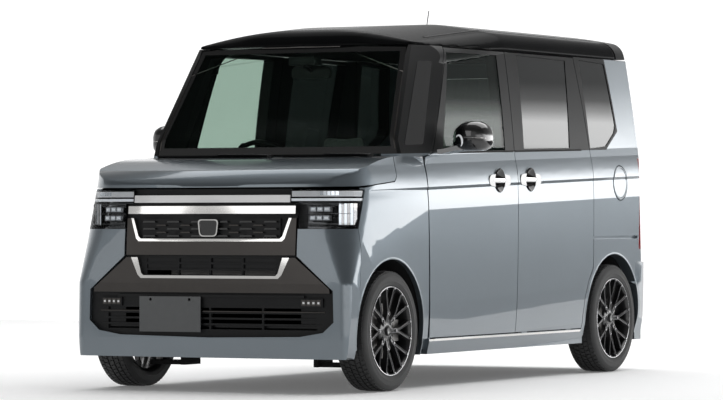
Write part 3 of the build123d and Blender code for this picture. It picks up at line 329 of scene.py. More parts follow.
def seen_through(glass, tint, edge_share, share_of):
    """Mix what lies behind with the glass's own shine, which grows where it is seen aslant."""
    through = glass.node("ShaderNodeBsdfTransparent", {"Color": (*tint, 1.0)})
    facing = glass.node("ShaderNodeLayerWeight", {"Blend": 0.5}, out=1)
    share = share_of(facing * facing * facing * facing * edge_share)
    both = glass.node("ShaderNodeMixShader", {0: share, 1: through,
                                              2: Value(glass, glass.shader.outputs[0])})
    glass.put(glass.output.inputs[0], both)


def side_glasses():
    """Name, tint, own colour, share that shines, roughness, curved."""
    for name, tint, body, share, rough, curved in (
            ("clear_glass", CLEAR_TINT, CLEAR_BODY, 0.16, 0.01, True),
            ("privacy_glass", (0.26, 0.29, 0.285), (0.008, 0.010, 0.0105), 0.62, 0.015, True),
            ("lamp_cover", (0.94, 0.95, 0.96), (0.03, 0.03, 0.032), 0.03, 0.01, False)):
        glass = Finish(name)
        mist = glass.noise(8.0)
        glass.set(Base_Color=glass.blend(mist, tone(body, 0.8), tone(body, 1.2)),
                  Roughness=rough, IOR=1.75, Coat_Weight=0.0)
        if curved:
            glass.set(Normal=glass.barrel(GLASS_CURVE, GLASS_FOOT))
        seen_through(glass, tint, 0.7, lambda edge: (edge + share).low(1.0))


# The clear part of the windscreen: low and high edge, half width at its foot, narrowing.
SCREEN_LOW, SCREEN_HIGH, SCREEN_HALF, SCREEN_TAPER = 1.146, 1.606, 0.627, 0.179
SCREEN_FOOT = 1.112


def windscreen_glass():
    """Clear glass with a border fired black."""
    screen = Finish("screen_glass")
    side_edge = (screen.x.math("ABSOLUTE") - SCREEN_HALF) + (screen.z - SCREEN_FOOT) * SCREEN_TAPER
    border = side_edge.high(SCREEN_LOW - screen.z).high(screen.z - SCREEN_HIGH).step(0.002)
    screen.set(Base_Color=screen.blend(border, CLEAR_BODY, (0.003, 0.003, 0.003)),
               Roughness=0.012)
    seen_through(screen, CLEAR_TINT, 0.6, lambda edge: (edge + 0.035).high(border))


def lenses():
    """Name, colour, roughness, glow."""
    for name, color, rough, glow in (("white_lens", (0.80, 0.82, 0.84), 0.12, 0.22),
                                     ("frosted_bar", (0.60, 0.60, 0.60), 0.18, 0.10),
                                     ("red_lens", (0.22, 0.006, 0.008), 0.10, 0.0),
                                     ("amber_lens", (0.55, 0.16, 0.01), 0.12, 0.0)):
        lens = Finish(name)
        ribs = lens.node("ShaderNodeTexWave", {"Vector": lens.place, "Scale": 60.0},
                         bands_direction="X")
        lens.set(Base_Color=lens.blend(ribs, tone(color, 0.9), tone(color, 1.06)),
                 Roughness=rough, Coat_Weight=1.0, Coat_Roughness=0.02,
                 Normal=lens.bump(ribs, 0.05, 0.0005), Emission_Color=color,
                 Emission_Strength=glow)


def plates_and_stage():
    plate = Finish("plate_enamel")
    plate.set(Base_Color=plate.blend(plate.noise(30.0, 3.0), (0.066, 0.070, 0.072),
                                     (0.076, 0.080, 0.083)), Roughness=0.42, Coat_Weight=0.3)
    card = Finish("dark_card")
    card.set(Base_Color=card.blend(card.noise(2.0), (0.05, 0.052, 0.055),
                                   (0.06, 0.062, 0.066)), Roughness=0.9)
    ground = Finish("pale_floor")
    ground.set(Base_Color=ground.blend(ground.noise(2.0, 3.0), (0.90, 0.90, 0.90),
                                       (0.92, 0.92, 0.92)), Roughness=0.75,
               Specular_IOR_Level=0.2, Emission_Color=(1.0, 1.0, 1.0),
               Emission_Strength=0.10)


def make_finishes(look):
    painted_panels(look)
    for group in (black_panels, plastics, metals, wheel_finishes, seat_cloth, side_glasses,
                  windscreen_glass, lenses, plates_and_stage):
        group()


# ---- meshes ---------------------------------------------------------------------------
def finish_of(name):
    return Finish.made[name]


def mesh_object(name, mesh, *finishes):
    """An object that takes over what a bmesh holds."""
    data = bpy.data.meshes.new(name)
    mesh.to_mesh(data)
    mesh.free()
    piece = bpy.data.objects.new(name, data)
    bpy.context.scene.collection.objects.link(piece)
    for finish in finishes:
        data.materials.append(finish_of(finish))
    return piece


def make(name, mesh, body, *finishes, slot=None, stands_for=(), smooth=40.0, bevel=0.0,
         segments=2):
    """Turn a bmesh in metres at its place into a piece that rides on a body."""
    bmesh.ops.remove_doubles(mesh, verts=mesh.verts, dist=1e-6)
    bmesh.ops.recalc_face_normals(mesh, faces=mesh.faces)
    piece = mesh_object(name, mesh, *finishes)
    if bevel:
        cut = piece.modifiers.new("edges", "BEVEL")
        cut.width, cut.segments, cut.limit_method = bevel * MM, segments, "ANGLE"
        cut.angle_limit = radians(35.0)
        flatten(piece)
    return fit(piece, body, smooth, stands_for)


def fit(piece, body, smooth=0.0, stands_for=()):
    """Shade a mesh, and make it a piece of the body where one is named."""
    if smooth:
        piece.data.shade_smooth()
        piece.data.set_sharp_from_angle(angle=radians(smooth))
    if body:
        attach(piece, body)
        if stands_for:
            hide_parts(*stands_for)
    return piece


def flatten(piece):
    """Make what the modifiers give the piece's own mesh."""
    graph = bpy.context.evaluated_depsgraph_get()
    solid = bpy.data.meshes.new_from_object(piece.evaluated_get(graph), depsgraph=graph)
    piece.modifiers.clear()
    piece.data = solid
    return piece


def skin(mesh, rings, slot=0, closed=False, ends=True, loop=True):
    """Join like rows of vertices in turn, and cap the first and last row."""
    count = len(rings[0])
    for a, b in zip(rings, rings[1:] + rings[:1] if closed else rings[1:]):
        for k in range(count if loop else count - 1):
            after = (k + 1) % count
            mesh.faces.new((a[k], a[after], b[after], b[k])).material_index = slot
    if ends and not closed:
        for ring in (rings[0], list(reversed(rings[-1]))):
            mesh.faces.new(ring).material_index = slot


def lathe(mesh, outline, steps, loop=True, slot=0):
    """Turn (along the axle, radius) points about the X axis."""
    angles = [2.0 * pi * i / steps for i in range(steps)]
    rings = [[mesh.verts.new((x * MM, r * MM * cos(a), r * MM * sin(a))) for x, r in outline]
             for a in angles]
    skin(mesh, rings, slot, closed=True, loop=loop)


def slab(mesh, points, offset, slot=0):
    """Close a prism between a flat outline and its copy moved by offset."""
    low = [mesh.verts.new(p) for p in points]
    high = [mesh.verts.new(p + offset) for p in points]
    n = len(points)
    faces = [mesh.faces.new(low), mesh.faces.new(list(reversed(high)))]
    for i in range(n):
        faces.append(mesh.faces.new((low[i], high[i], high[(i + 1) % n], low[(i + 1) % n])))
    for face in faces:
        face.material_index = slot


def block(mesh, x0, x1, y0, y1, z0, z1, slot=0):
    corners = [at(x0, y0, z0), at(x1, y0, z0), at(x1, y1, z0), at(x0, y1, z0)]
    slab(mesh, corners, Vector((0, 0, (z1 - z0) * MM)), slot)


def rounded(points, radius, steps=4):
    """Round the corners of a flat outline of 3-D points."""
    got = []
    n = len(points)
    for i, p in enumerate(points):
        a, b = points[i - 1] - p, points[(i + 1) % n] - p
        r = min(radius * MM, a.length * 0.45, b.length * 0.45)
        start, end = p + a.normalized() * r, p + b.normalized() * r
        for j in range(steps + 1):
            t = j / steps
            got.append(start * (1 - t) ** 2 + p * 2 * t * (1 - t) + end * t ** 2)
    return got


def tube(mesh, points, radius, sides=8, slot=0):
    """A round bar along points, closed at both ends."""
    rings = []
    for i, p in enumerate(points):
        ahead = points[min(i + 1, len(points) - 1)] - points[max(i - 1, 0)]
        turn = ahead.to_track_quat("Z", "Y")
        r = radius[i] if isinstance(radius, (list, tuple)) else radius
        rings.append([mesh.verts.new(p + turn @ Vector((cos(2 * pi * k / sides) * r * MM,
                                                        sin(2 * pi * k / sides) * r * MM, 0)))
                      for k in range(sides)])
    skin(mesh, rings, slot)


def merged_copy(node):
    """A merged bmesh copy of a CAD node's triangles."""
    mesh = bmesh.new()
    mesh.from_mesh(NODES[node].data)
    bmesh.ops.remove_doubles(mesh, verts=mesh.verts, dist=2e-6)
    return mesh


# ---- repeated items -------------------------------------------------------------------
def item_tree(name, turned):
    """Copies of an item: turned about X through Centre, or set out in rows and columns."""
    tree = bpy.data.node_groups.new(name, "GeometryNodeTree")
    inputs = (("Centre", "Vector"), ("Step", "Float"), ("Start", "Float")) if turned else (
        ("Columns", "Int"), ("Across", "Vector"), ("Along", "Vector"), ("Stagger", "Vector"))
    for key, kind in (("Item", "Geometry"), ("Count", "Int"), *inputs, ("Finish", "Material")):
        tree.interface.new_socket(key, in_out="INPUT", socket_type="NodeSocket" + kind)
    tree.interface.new_socket("Items", in_out="OUTPUT", socket_type="NodeSocketGeometry")
    nodes = Nodes(tree)
    given = {s.name: Value(nodes, s) for s in tree.nodes.new("NodeGroupInput").outputs}
    index = nodes.node("GeometryNodeInputIndex")
    if turned:
        angle = index.math("MULTIPLY_ADD", given["Step"], given["Start"])
        position = given["Centre"]
        turn = {"Rotation": nodes.node("FunctionNodeAxisAngleToRotation",
                                       {"Axis": (1, 0, 0), "Angle": angle})}
    else:
        row = index.math("DIVIDE", given["Columns"]).math("FLOOR")
        position, turn = None, {}
        for count, way in ((index.math("MODULO", given["Columns"]), "Across"),
                           (row, "Along"), (row.math("MODULO", 2.0), "Stagger")):
            step = nodes.node("ShaderNodeVectorMath", {0: given[way], "Scale": count},
                              operation="SCALE")
            position = step if position is None else nodes.node(
                "ShaderNodeVectorMath", {0: position, 1: step}, operation="ADD")
    points = nodes.node("GeometryNodePoints", {"Count": given["Count"], "Position": position})
    placed = nodes.node("GeometryNodeInstanceOnPoints",
                        {"Points": points, "Instance": given["Item"], **turn})
    real = nodes.node("GeometryNodeRealizeInstances", {0: placed})
    painted = nodes.node("GeometryNodeSetMaterial",
                         {"Geometry": real, "Material": given["Finish"]})
    nodes.put(tree.nodes.new("NodeGroupOutput").inputs[0], painted)
    return tree


def repeat(name, mesh, body, finish, turned, smooth=40.0, slot=None, stands_for=(), **inputs):
    """A piece made of copies of the item in mesh, set out by one of the two trees."""
    kind = "turned_items" if turned else "rows_of_items"
    tree = bpy.data.node_groups.get(kind) or item_tree(kind, turned)
    bmesh.ops.recalc_face_normals(mesh, faces=mesh.faces)
    piece = mesh_object(name, mesh)
    maker = piece.modifiers.new("items", "NODES")
    maker.node_group = tree
    sockets = {s.name: s.identifier for s in tree.interface.items_tree if s.in_out == "INPUT"}
    for key, value in inputs.items():
        maker[sockets[key]] = value
    maker[sockets["Finish"]] = finish_of(finish)
    return fit(flatten(piece), body, smooth, stands_for)


def joined(name, pieces, body, stands_for=(), place=None):
    """One mesh from several loose ones; place is a centre and the side it faces."""
    mesh = bmesh.new()
    finishes = []
    for piece in pieces:
        shift, start = len(finishes), len(mesh.faces)
        finishes += piece.data.materials[:]
        mesh.from_mesh(piece.data)
        mesh.faces.ensure_lookup_table()
        for face in mesh.faces[start:]:
            face.material_index += shift
        bpy.data.objects.remove(piece)
    if place:
        centre, side = place
        for v in mesh.verts:
            v.co = Vector((v.co.x * side, v.co.y, v.co.z)) + centre
        if side < 0:
            bmesh.ops.reverse_faces(mesh, faces=mesh.faces)
    whole = mesh_object(name, mesh)
    for material in finishes:
        whole.data.materials.append(material)
    return fit(whole, body, 0.0, stands_for)


# ---- what a user may change -----------------------------------------------------------
class CarLook(bpy.types.PropertyGroup):
    paint: bpy.props.FloatVectorProperty(
        name="Paint", description="Colour of the painted panels", subtype="COLOR", size=3,
        min=0.0, max=1.0, default=(0.150, 0.178, 0.200))


class CarWheels(bpy.types.PropertyGroup):
    tread_blocks: bpy.props.IntProperty(
        name="Tread blocks", description="Blocks in each row round a tyre", default=66,
        min=30, max=90)
    spokes: bpy.props.IntProperty(
        name="Forked spokes", description="Forked spokes in each wheel", default=8, min=4,
        max=12)


# ---- panels ---------------------------------------------------------------------------
PANEL_FINISHES = {
    "body_paint": ("front_wings", "front_bumper", "rear_bumper", "bonnet", "fuel_lid"),
    "door_paint": ("door_left", "door_right", "sliding_doors"),
    "side_paint": ("side_frame_left", "side_frame_right"),
    "gate_paint": ("tailgate",),
    "roof_black": ("roof_panel",),
    "gloss_black": ("mirror_left", "mirror_right", "aerial"),
    "screen_glass": ("windscreen",),
    "clear_glass": ("door_glass_left", "door_glass_right"),
    "privacy_glass": ("quarter_glass", "sliding_door_glass", "tailgate_glass"),
    "chrome": ("bright_trims", "door_handle_left", "door_handle_right", "slide_handles"),
    "gunmetal": ("front_garnish",),
    "grained_plastic": ("cowl_panel", "front_grille", "wipers", "rear_wiper", "inner_mirror",
                        "dashboard", "steering_wheel", "fog_lamps"),
    "underbody_coat": ("floor", "wheelhouses", "front_subframe", "rear_axle"),
    "cast_steel": ("engine_block", "knuckle_left", "knuckle_right", "disc_fl", "disc_fr",
                   "drum_rl", "drum_rr"),
    "plate_enamel": ("front_plate", "rear_plate"),
    "lamp_cover": ("headlamps",),
    "red_lens": ("tail_lamps",),
    "seat_cloth": ("front_seats", "rear_seats"),
    "wheel_black": ("rim_fl", "rim_fr", "rim_rl", "rim_rr"),
    "tyre_rubber": ("tyre_fl", "tyre_fr", "tyre_rl", "tyre_rr"),
}


# Panels whose facets are shaded as one curve: node, body, finish, slot, angle.
SOFT_SKINS = (("front_bumper", "body_shell", "body_paint", "bumper", 24.0),
              ("front_wings", "body_shell", "body_paint", "paint", 24.0),
              ("bonnet", "bonnet", "body_paint", "paint", 30.0),
              ("rear_bumper", "body_shell", "body_paint", "bumper", 30.0))
ROOF_VOXEL, ROOF_PASSES = 0.010, 50
# The roof is softened above this height and before this place, over a fade in metres.
ROOF_EDGE_Z, ROOF_REAR_Y, ROOF_FADE = 1.652, 2700.0, 0.030


def loose_copy(node, finish):
    """An object of its own with a merged copy of a node's mesh."""
    return mesh_object("skin_" + node, merged_copy(node), finish)


class CAR_OT_soft_skins(bpy.types.Operator):
    """Give the curved panels skins with smooth shading, and soften the roof's brow"""
    bl_idname = "kei_car.soft_skins"
    bl_label = "Smooth the curved panels"

    def execute(self, context):
        for node, body, finish, slot, angle in SOFT_SKINS:
            fit(loose_copy(node, finish), body, angle, (node,))
        roof = loose_copy("roof_panel", "roof_black")
        cells = roof.modifiers.new("voxels", "REMESH")
        cells.mode, cells.voxel_size, cells.use_smooth_shade = "VOXEL", ROOF_VOXEL, True
        flatten(roof)
        crown = roof.vertex_groups.new(name="crown")
        for v in roof.data.vertices:
            inside = min(v.co.z - ROOF_EDGE_Z, (ROOF_REAR_Y - MID_Y) * MM - v.co.y)
            crown.add([v.index], max(0.0, min(1.0, inside / ROOF_FADE)), "REPLACE")
        soft = roof.modifiers.new("soft", "SMOOTH")
        soft.factor, soft.iterations, soft.vertex_group = 0.5, ROOF_PASSES, "crown"
        flatten(roof)
        fit(roof, "body_shell", 50.0, ("roof_panel",))
        return {"FINISHED"}


class CAR_OT_finish_panels(bpy.types.Operator):
    """Give every packed panel its finish"""
    bl_idname = "kei_car.finish_panels"
    bl_label = "Finish the panels"

    def execute(self, context):
        make_finishes(context.scene.kei_look)
        for finish, nodes in PANEL_FINISHES.items():
            for node in nodes:
                NODES[node].data.materials.clear()
                NODES[node].data.materials.append(finish_of(finish))
        return {"FINISHED"}


# ---- stage ----------------------------------------------------------------------------
CAMERA_AT = (8978.0, -15871.0, 816.0)
CAMERA_TURN, CAMERA_TILT, CAMERA_ROLL = 27.903, -0.24, -0.085
CAMERA_LENS = 191.47

# Height in the sky (half the sine of its angle, plus a half) and the brightness there.
SKY = ((0.0, 1.2), (0.50, 1.2), (0.60, 1.15), (0.66, 0.35), (0.78, 0.25), (0.9, 0.45),
       (1.0, 0.8))
# Name, centre, target, width, height, power.
LIGHTS = (("top_card", (0.0, 6.0, 9.0), (0.0, 6.0, 0.0), 16.0, 16.0, 1500.0),
          ("front_card", (-5.0, -12.0, 3.4), (0.0, -1.5, 0.8), 7.0, 4.0, 90.0))
# The same for the sky on the car's left, which its side shows: a bright band low down.
LEFT_SKY = ((0.0, 1.2), (0.49, 1.6), (0.502, 5.0), (0.535, 5.2), (0.55, 2.6), (0.566, 0.9),
            (0.59, 0.40), (0.66, 0.30), (0.78, 0.25), (0.9, 0.45), (1.0, 0.8))
# Share of the sky's light that comes from in front of the car.
FRONT_SHARE = 0.44
FLOOR_HALF = 8.5
# A low dark card far behind the car's left, with dark floor before it, for the lower half of
# the side: x and y of the card's ends and of the floor's near corner, in metres.
CARD_ENDS, CARD_FLOOR = ((9.0, 32.0), (34.0, 12.0)), (2.4, 3.0)
CARD_HIGH, CARD_DEEP, CARD_FLOOR_THICK = 1.0, 0.1, 0.01


def studio_sky():
    """Bright round the horizon, darker above it, with a soft band on the car's left."""
    world = bpy.data.worlds.new("studio")
    world.use_nodes = True
    sky = Nodes(world.node_tree)
    x, y, z = sky.split(sky.node("ShaderNodeTexCoord", out="Generated"))
    height = sky.node("ShaderNodeMapRange", {"Value": z, "From Min": -1.0})
    around, left = (sky.node("ShaderNodeValToRGB", {0: height}, stops=stops)
                    for stops in (SKY, LEFT_SKY))
    front = sky.node("ShaderNodeMapRange", {"Value": y, "From Min": -0.3, "From Max": 0.3,
                                            "To Min": FRONT_SHARE})
    side = sky.node("ShaderNodeMapRange", {"Value": x, "From Min": 0.05, "From Max": 0.40})
    level = sky.node("ShaderNodeMix", {0: side, 2: around, 3: left}, data_type="FLOAT") * front
    sky.put(world.node_tree.nodes["Background"].inputs["Color"], level)
    return world


def add_light(name, centre, target, wide, high, power):
    lamp = bpy.data.lights.new(name, "AREA")
    lamp.shape, lamp.size, lamp.size_y, lamp.energy = "RECTANGLE", wide, high, power
    light = bpy.data.objects.new(name, lamp)
    bpy.context.scene.collection.objects.link(light)
    direction = Vector(target) - Vector(centre)
    light.rotation_euler = direction.to_track_quat("-Z", "Y").to_euler()
    light.location = centre


def add_camera(scene):
    data = bpy.data.cameras.new("camera")
    data.lens, data.sensor_width, data.clip_end = CAMERA_LENS, 36.0, 200.0
    camera = bpy.data.objects.new("camera", data)
    scene.collection.objects.link(camera)
    turn, tilt, roll = (radians(v) for v in (CAMERA_TURN, CAMERA_TILT, CAMERA_ROLL))
    back = Vector((sin(turn) * cos(tilt), -cos(turn) * cos(tilt), sin(tilt)))
    across = Vector((cos(turn), sin(turn), 0.0))
    up = back.cross(across)
    across, up = (across * cos(roll) + up * sin(roll), up * cos(roll) - across * sin(roll))
    camera.matrix_world = Matrix.Translation(at(*CAMERA_AT)) @ Matrix(
        (across, up, back)).transposed().to_4x4()
    scene.camera = camera


class CAR_OT_stage(bpy.types.Operator):
    """Set the floor, the studio lights and the camera"""
    bl_idname = "kei_car.stage"
    bl_label = "Set the stage"

    def execute(self, context):
        scene = context.scene
        ground = bmesh.new()
        bmesh.ops.create_grid(ground, x_segments=2, y_segments=2, size=FLOOR_HALF)
        mesh_object("studio_floor", ground, "pale_floor")
        card = bmesh.new()
        ends = [Vector((x, y, 0.0)) for x, y in CARD_ENDS]
        behind = Vector((0.0, CARD_DEEP, 0.0))
        slab(card, [ends[0], ends[1], ends[1] + behind, ends[0] + behind],
             Vector((0.0, 0.0, CARD_HIGH)))
        slab(card, [Vector((*CARD_FLOOR, 0.0)), ends[1], ends[0]],
             Vector((0.0, 0.0, CARD_FLOOR_THICK)))
        mesh_object("dark_card", card, "dark_card")
        scene.world = studio_sky()
        scene.view_settings.view_transform = "Standard"
        for light in LIGHTS:
            add_light(*light)
        add_camera(scene)
        return {"FINISHED"}


# ---- cabin ----------------------------------------------------------------------------
# Row, x from and to, front, height of the base, depth and height of the pads, lean of the
# back, CAD node, rear end of the frame.
SEAT_ROWS = (("front", 65.0, 560.0, 820.0, 420.0, 470.0, 620.0, 110.0, "front_seats", 1250.0),
             ("rear", 10.0, 480.0, 1830.0, 430.0, 450.0, 600.0, 90.0, "rear_seats", 2110.0))
PAD_VOXEL, SWELL_FRAMES = 0.009, 20


def seat_forms(x0, x1, y0, base, deep, height, lean):
    """Each pad's outline in side view, x from and to, rounding, how far it may swell in
    millimetres, and its sewn channels as (axis, place)."""
    mid, wide = (x0 + x1) / 2, x1 - x0
    foot = y0 + deep
    back = [(foot - 18, base + 104), (foot + 92, base + 100),
            (foot + 96 + lean, base + height - 14), (foot + 34 + lean, base + height - 10)]
    head = [(foot + 36 + lean, base + height + 14), (foot + 94 + lean, base + height + 12),
            (foot + 108 + lean, base + height + 178), (foot + 54 + lean, base + height + 178)]
    cushion = [(y0 + 12, base + 44), (y0 + 12, base + 134), (foot - 14, base + 116),
               (foot - 14, base + 14)]
    tuft = [("x", mid - wide * 0.24), ("x", mid + wide * 0.24)]
    return (("cushion", cushion, x0 + 12, x1 - 12, 26.0, 12.0, tuft + [("y", y0 + 90.0)]),
            ("back", back, x0 + 12, x1 - 12, 24.0, 12.0, tuft + [("z", base + height - 150)]),
            ("headrest", head, mid - 113, mid + 113, 26.0, 8.0, []))


def swollen(piece, cap):
    """Blow the pad up a little as cloth, no point moving further than the cap."""
    start = [v.co.copy() for v in piece.data.vertices]
    cloth = piece.modifiers.new("cloth", "CLOTH")
    cloth.settings.use_pressure = True
    cloth.settings.uniform_pressure_force = 4.0
    cloth.settings.effector_weights.gravity = 0.0
    cloth.point_cache.frame_start, cloth.point_cache.frame_end = 1, SWELL_FRAMES
    for number in range(1, SWELL_FRAMES + 1):
        bpy.context.scene.frame_set(number)
    flatten(piece)
    for v, was in zip(piece.data.vertices, start):
        move = v.co - was
        if move.length > cap * MM:
            v.co = was + move.normalized() * cap * MM
    bpy.context.scene.frame_set(1)


def padded_piece(name, outline, x0, x1, round_by, cap, channels, stands_for):
    """A rounded pad of the seat: swollen as cloth, smoothed and sewn."""
    mesh = bmesh.new()
    slab(mesh, [at(x0, y, z) for y, z in outline], Vector(((x1 - x0) * MM, 0, 0)))
    piece = make(name, mesh, None, "seat_cloth", smooth=0.0, bevel=round_by, segments=4)
    remesh = piece.modifiers.new("voxels", "REMESH")
    remesh.mode, remesh.voxel_size, remesh.use_smooth_shade = "VOXEL", PAD_VOXEL, True
    flatten(piece)
    swollen(piece, cap)
    rounder = piece.modifiers.new("round", "SUBSURF")
    rounder.levels = rounder.render_levels = 1
    flatten(piece)
    # Sewn channels: pull the surface in along lines across the face.
    for v in piece.data.vertices:
        place = {"x": v.co.x / MM, "y": v.co.y / MM + MID_Y, "z": v.co.z / MM}
        depth = sum(4.5 * max(0.0, 1.0 - abs(place[axis] - where) / 11.0) ** 2
                    for axis, where in channels)
        if depth:
            v.co -= v.normal * min(depth, 5.0) * MM
    fit(piece, "body_shell", 60.0, stands_for)


HEADLINER_X, HEADLINER_FRONT, HEADLINER_REAR = 612.0, 640.0, 2690.0
HEADLINER_Z, HEADLINER_THICK = 1643.0, 4.0
COLUMN_AT, COLUMN_TILT = (-330.0, 690.0, 1045.0), 62.0
RING_R, RING_STEPS, RING_SIDES = 163.0, 56, 12


class CAR_OT_cabin(bpy.types.Operator):
    """Build the padded chairs, the steering wheel and the lining under the roof"""
    bl_idname = "kei_car.cabin"
    bl_label = "Build the cabin"

    def execute(self, context):
        for row, x0, x1, y0, base, deep, height, lean, node, foot in SEAT_ROWS:
            frames = bmesh.new()
            for word, side in SIDES:
                low, high = sorted((side * x0, side * x1))
                for form, outline, a, b, round_by, cap, channels in seat_forms(
                        low, high, y0, base, deep, height, lean):
                    padded_piece("%s_%s_%s" % (row, form, word), outline, a, b, round_by, cap,
                                 channels, (node,) if form == "cushion" else ())
                mid = (low + high) / 2
                block(frames, low + 50, high - 50, y0 + 70, foot, 221, base + 40)
                for x in (mid - 50, mid + 50):
                    top = at(x, y0 + deep + 72 + lean, base + height + 60)
                    tube(frames, [top - Vector((0, 0.008, 0.11)), top], 5.0, 8, 1)
            make(row + "_chair_frames", frames, "body_shell", "grained_plastic",
                 "satin_chrome", slot="plastic", bevel=4.0)

        column = Matrix.Translation(at(*COLUMN_AT)) @ Matrix.Rotation(radians(-COLUMN_TILT), 4,
                                                                      "X")
        wheel = bmesh.new()
        rings = []
        for i in range(RING_STEPS):
            a = 2 * pi * i / RING_STEPS
            flat = 0.94 if sin(a) < -0.86 else 1.0
            p = Vector((cos(a) * RING_R, sin(a) * RING_R * flat, 0.0)) * MM
            out = p.normalized()
            rings.append([wheel.verts.new(column @ (
                p + out * cos(2 * pi * k / RING_SIDES) * 0.0125
                + Vector((0, 0, sin(2 * pi * k / RING_SIDES) * 0.0145))))
                for k in range(RING_SIDES)])
        skin(wheel, rings, closed=True)
        for points, thick in ((((-58, 30), (58, 30), (66, -22), (36, -58), (-36, -58),
                                (-66, -22)), 30.0),
                              (((52, 22), (158, 12), (158, -14), (52, -20)), 13.0),
                              (((-52, -20), (-158, -14), (-158, 12), (-52, 22)), 13.0),
                              (((-20, -50), (-12, -156), (12, -156), (20, -50)), 12.0)):
            start = [column @ (Vector((x, y, -thick * 0.62)) * MM) for x, y in points]
            lift = column.to_3x3() @ Vector((0, 0, thick * MM))
            slab(wheel, start, lift)
        tube(wheel, [column @ Vector((0, 0, -0.17)), column @ Vector((0, 0, -0.015))], 20.0, 20)
        make("steering_wheel_finished", wheel, "steering_wheel", "satin_plastic",
             slot="plastic", stands_for=("steering_wheel",), smooth=50.0)
        lining = bmesh.new()
        block(lining, -HEADLINER_X, HEADLINER_X, HEADLINER_FRONT, HEADLINER_REAR, HEADLINER_Z,
              HEADLINER_Z + HEADLINER_THICK)
        make("headliner", lining, "body_shell", "grained_plastic", slot="plastic")
        return {"FINISHED"}


# ---- instrument panel -----------------------------------------------------------------
class CAR_OT_dash(bpy.types.Operator):
    """Build the instrument panel's screen, vents, cluster, the inner mirror and its pod"""
    bl_idname = "kei_car.dash"
    bl_label = "Build the instrument panel details"

    def execute(self, context):
        body = "body_shell"
        top = surface_tree("dashboard")
        panel = bmesh.new()
        # Cluster hood before the driver, and the centre display on the panel's rear face.
        hood = rounded([at(x, 0.0, z) for x, z in ((-470.0, 1010.0), (-190.0, 1010.0),
                                                    (-206.0, 1096.0), (-454.0, 1096.0))], 34.0)
        slab(panel, [p + at(0, 500.0 + MID_Y, 0) for p in hood], Vector((0, 0.095, 0)))
        face = [p + at(0, 595.4 + MID_Y, 0) for p in rounded(
            [at(x, 0.0, z) for x, z in ((-456.0, 1018.0), (-204.0, 1018.0), (-214.0, 1086.0),
                                        (-446.0, 1086.0))], 24.0)]
        slab(panel, face, Vector((0, 0.0015, 0)), 1)
        display = rounded([at(x, 585.0 + (1080.0 - z) * 0.12, z) for x, z in (
            (-130.0, 930.0), (130.0, 930.0), (130.0, 1082.0), (-130.0, 1082.0))], 12.0)
        slab(panel, display, Vector((0, 0.022, 0.003)), 1)
        # Vents: a frame of slats at each end and beside the display.
        for x0, x1, z0, z1 in ((470.0, 570.0, 900.0, 972.0), (-570.0, -485.0, 900.0, 972.0),
                               (150.0, 214.0, 900.0, 966.0)):
            for k in range(6):
                z = z0 + (z1 - z0) * k / 5
                spot = top.ray_cast(at((x0 + x1) / 2, 900.0, z), Vector((0, -1, 0)))[0]
                if spot:
                    y = spot.y / MM + MID_Y
                    block(panel, x0, x1, y - 2.0, y + 4.0, z - 2.0, z + 2.0)
        # Selector and its plate.
        block(panel, 30.0, 110.0, 604.0, 634.0, 800.0, 900.0, 1)
        tube(panel, [at(70.0, 620.0, 850.0), at(70.0, 668.0, 874.0)], [8.0, 8.0], 12, 2)
        tube(panel, [at(70.0, 664.0, 872.0), at(70.0, 700.0, 890.0)], [16.0, 18.0], 16)
        make("panel_details", panel, body, "dash_skin", "gloss_black", "satin_chrome",
             slot="plastic")

        glove = bmesh.new()
        strip_along(glove, top, run(at(250.0, 0, 866.0), at(560.0, 0, 866.0), 10), (0, -1, 0),
                    4.0, 1.0)
        strip_along(glove, top, run(at(-580.0, 0, 986.0), at(580.0, 0, 986.0), 30), (0, -1, 0),
                    7.0, 1.5)
        make("panel_lines", glove, body, "satin_chrome", slot="chrome")

        mirror = bmesh.new()
        head = rounded([at(x, 556.0, z) for x, z in ((-108.0, 1484.0), (108.0, 1484.0),
                                                     (104.0, 1546.0), (-104.0, 1546.0))], 26.0)
        slab(mirror, head, Vector((0, 0.024, 0)))
        slab(mirror, [(p - at(0, 556.0, 1515.0)) * 0.93 + at(0, 580.2, 1515.0) for p in head],
             Vector((0, 0.0012, 0)), 1)
        tube(mirror, [at(0.0, 560.0, 1524.0), at(0.0, 500.0, 1542.0), at(0.0, 470.0, 1546.0)],
             [9.0, 7.0, 9.0], 12)
        block(mirror, -70.0, 70.0, 462.0, 540.0, 1548.0, 1590.0)
        make("inner_mirror_finished", mirror, body, "satin_plastic", "mirror_glass",
             slot="plastic", stands_for=("inner_mirror",), bevel=3.0)
        return {"FINISHED"}


# ---- small details --------------------------------------------------------------------
def surface_tree(*nodes):
    """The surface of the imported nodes, for finding where a line meets it."""
    mesh = bmesh.new()
    for node in nodes:
        mesh.from_mesh(NODES[node].data)
    tree = BVHTree.FromBMesh(mesh)
    mesh.free()
    return tree


def strip_along(mesh, tree, points, aim, wide, proud, slot=0):
    """A flat moulding along points, laid on the first surface met when looking along aim."""
    aim = Vector(aim)
    spots = []
    for p in points:
        spot, normal, _, _ = tree.ray_cast(p - aim * 3.0, aim)
        if spot:
            spots.append((spot, normal if normal.dot(aim) < 0 else -normal))
    rows = []
    for i, (p, normal) in enumerate(spots):
        ahead = spots[min(i + 1, len(spots) - 1)][0] - spots[max(i - 1, 0)][0]
        across = normal.cross(ahead).normalized() * wide * MM / 2
        up = normal * proud * MM
        rows.append([mesh.verts.new(v) for v in (
            p - across - up * 0.3, p - across + up * 0.6, p - across * 0.6 + up,
            p + across * 0.6 + up, p + across + up * 0.6, p + across - up * 0.3)])
    skin(mesh, rows, slot)


def run(start, end, steps):
    return [start.lerp(end, i / steps) for i in range(steps + 1)]


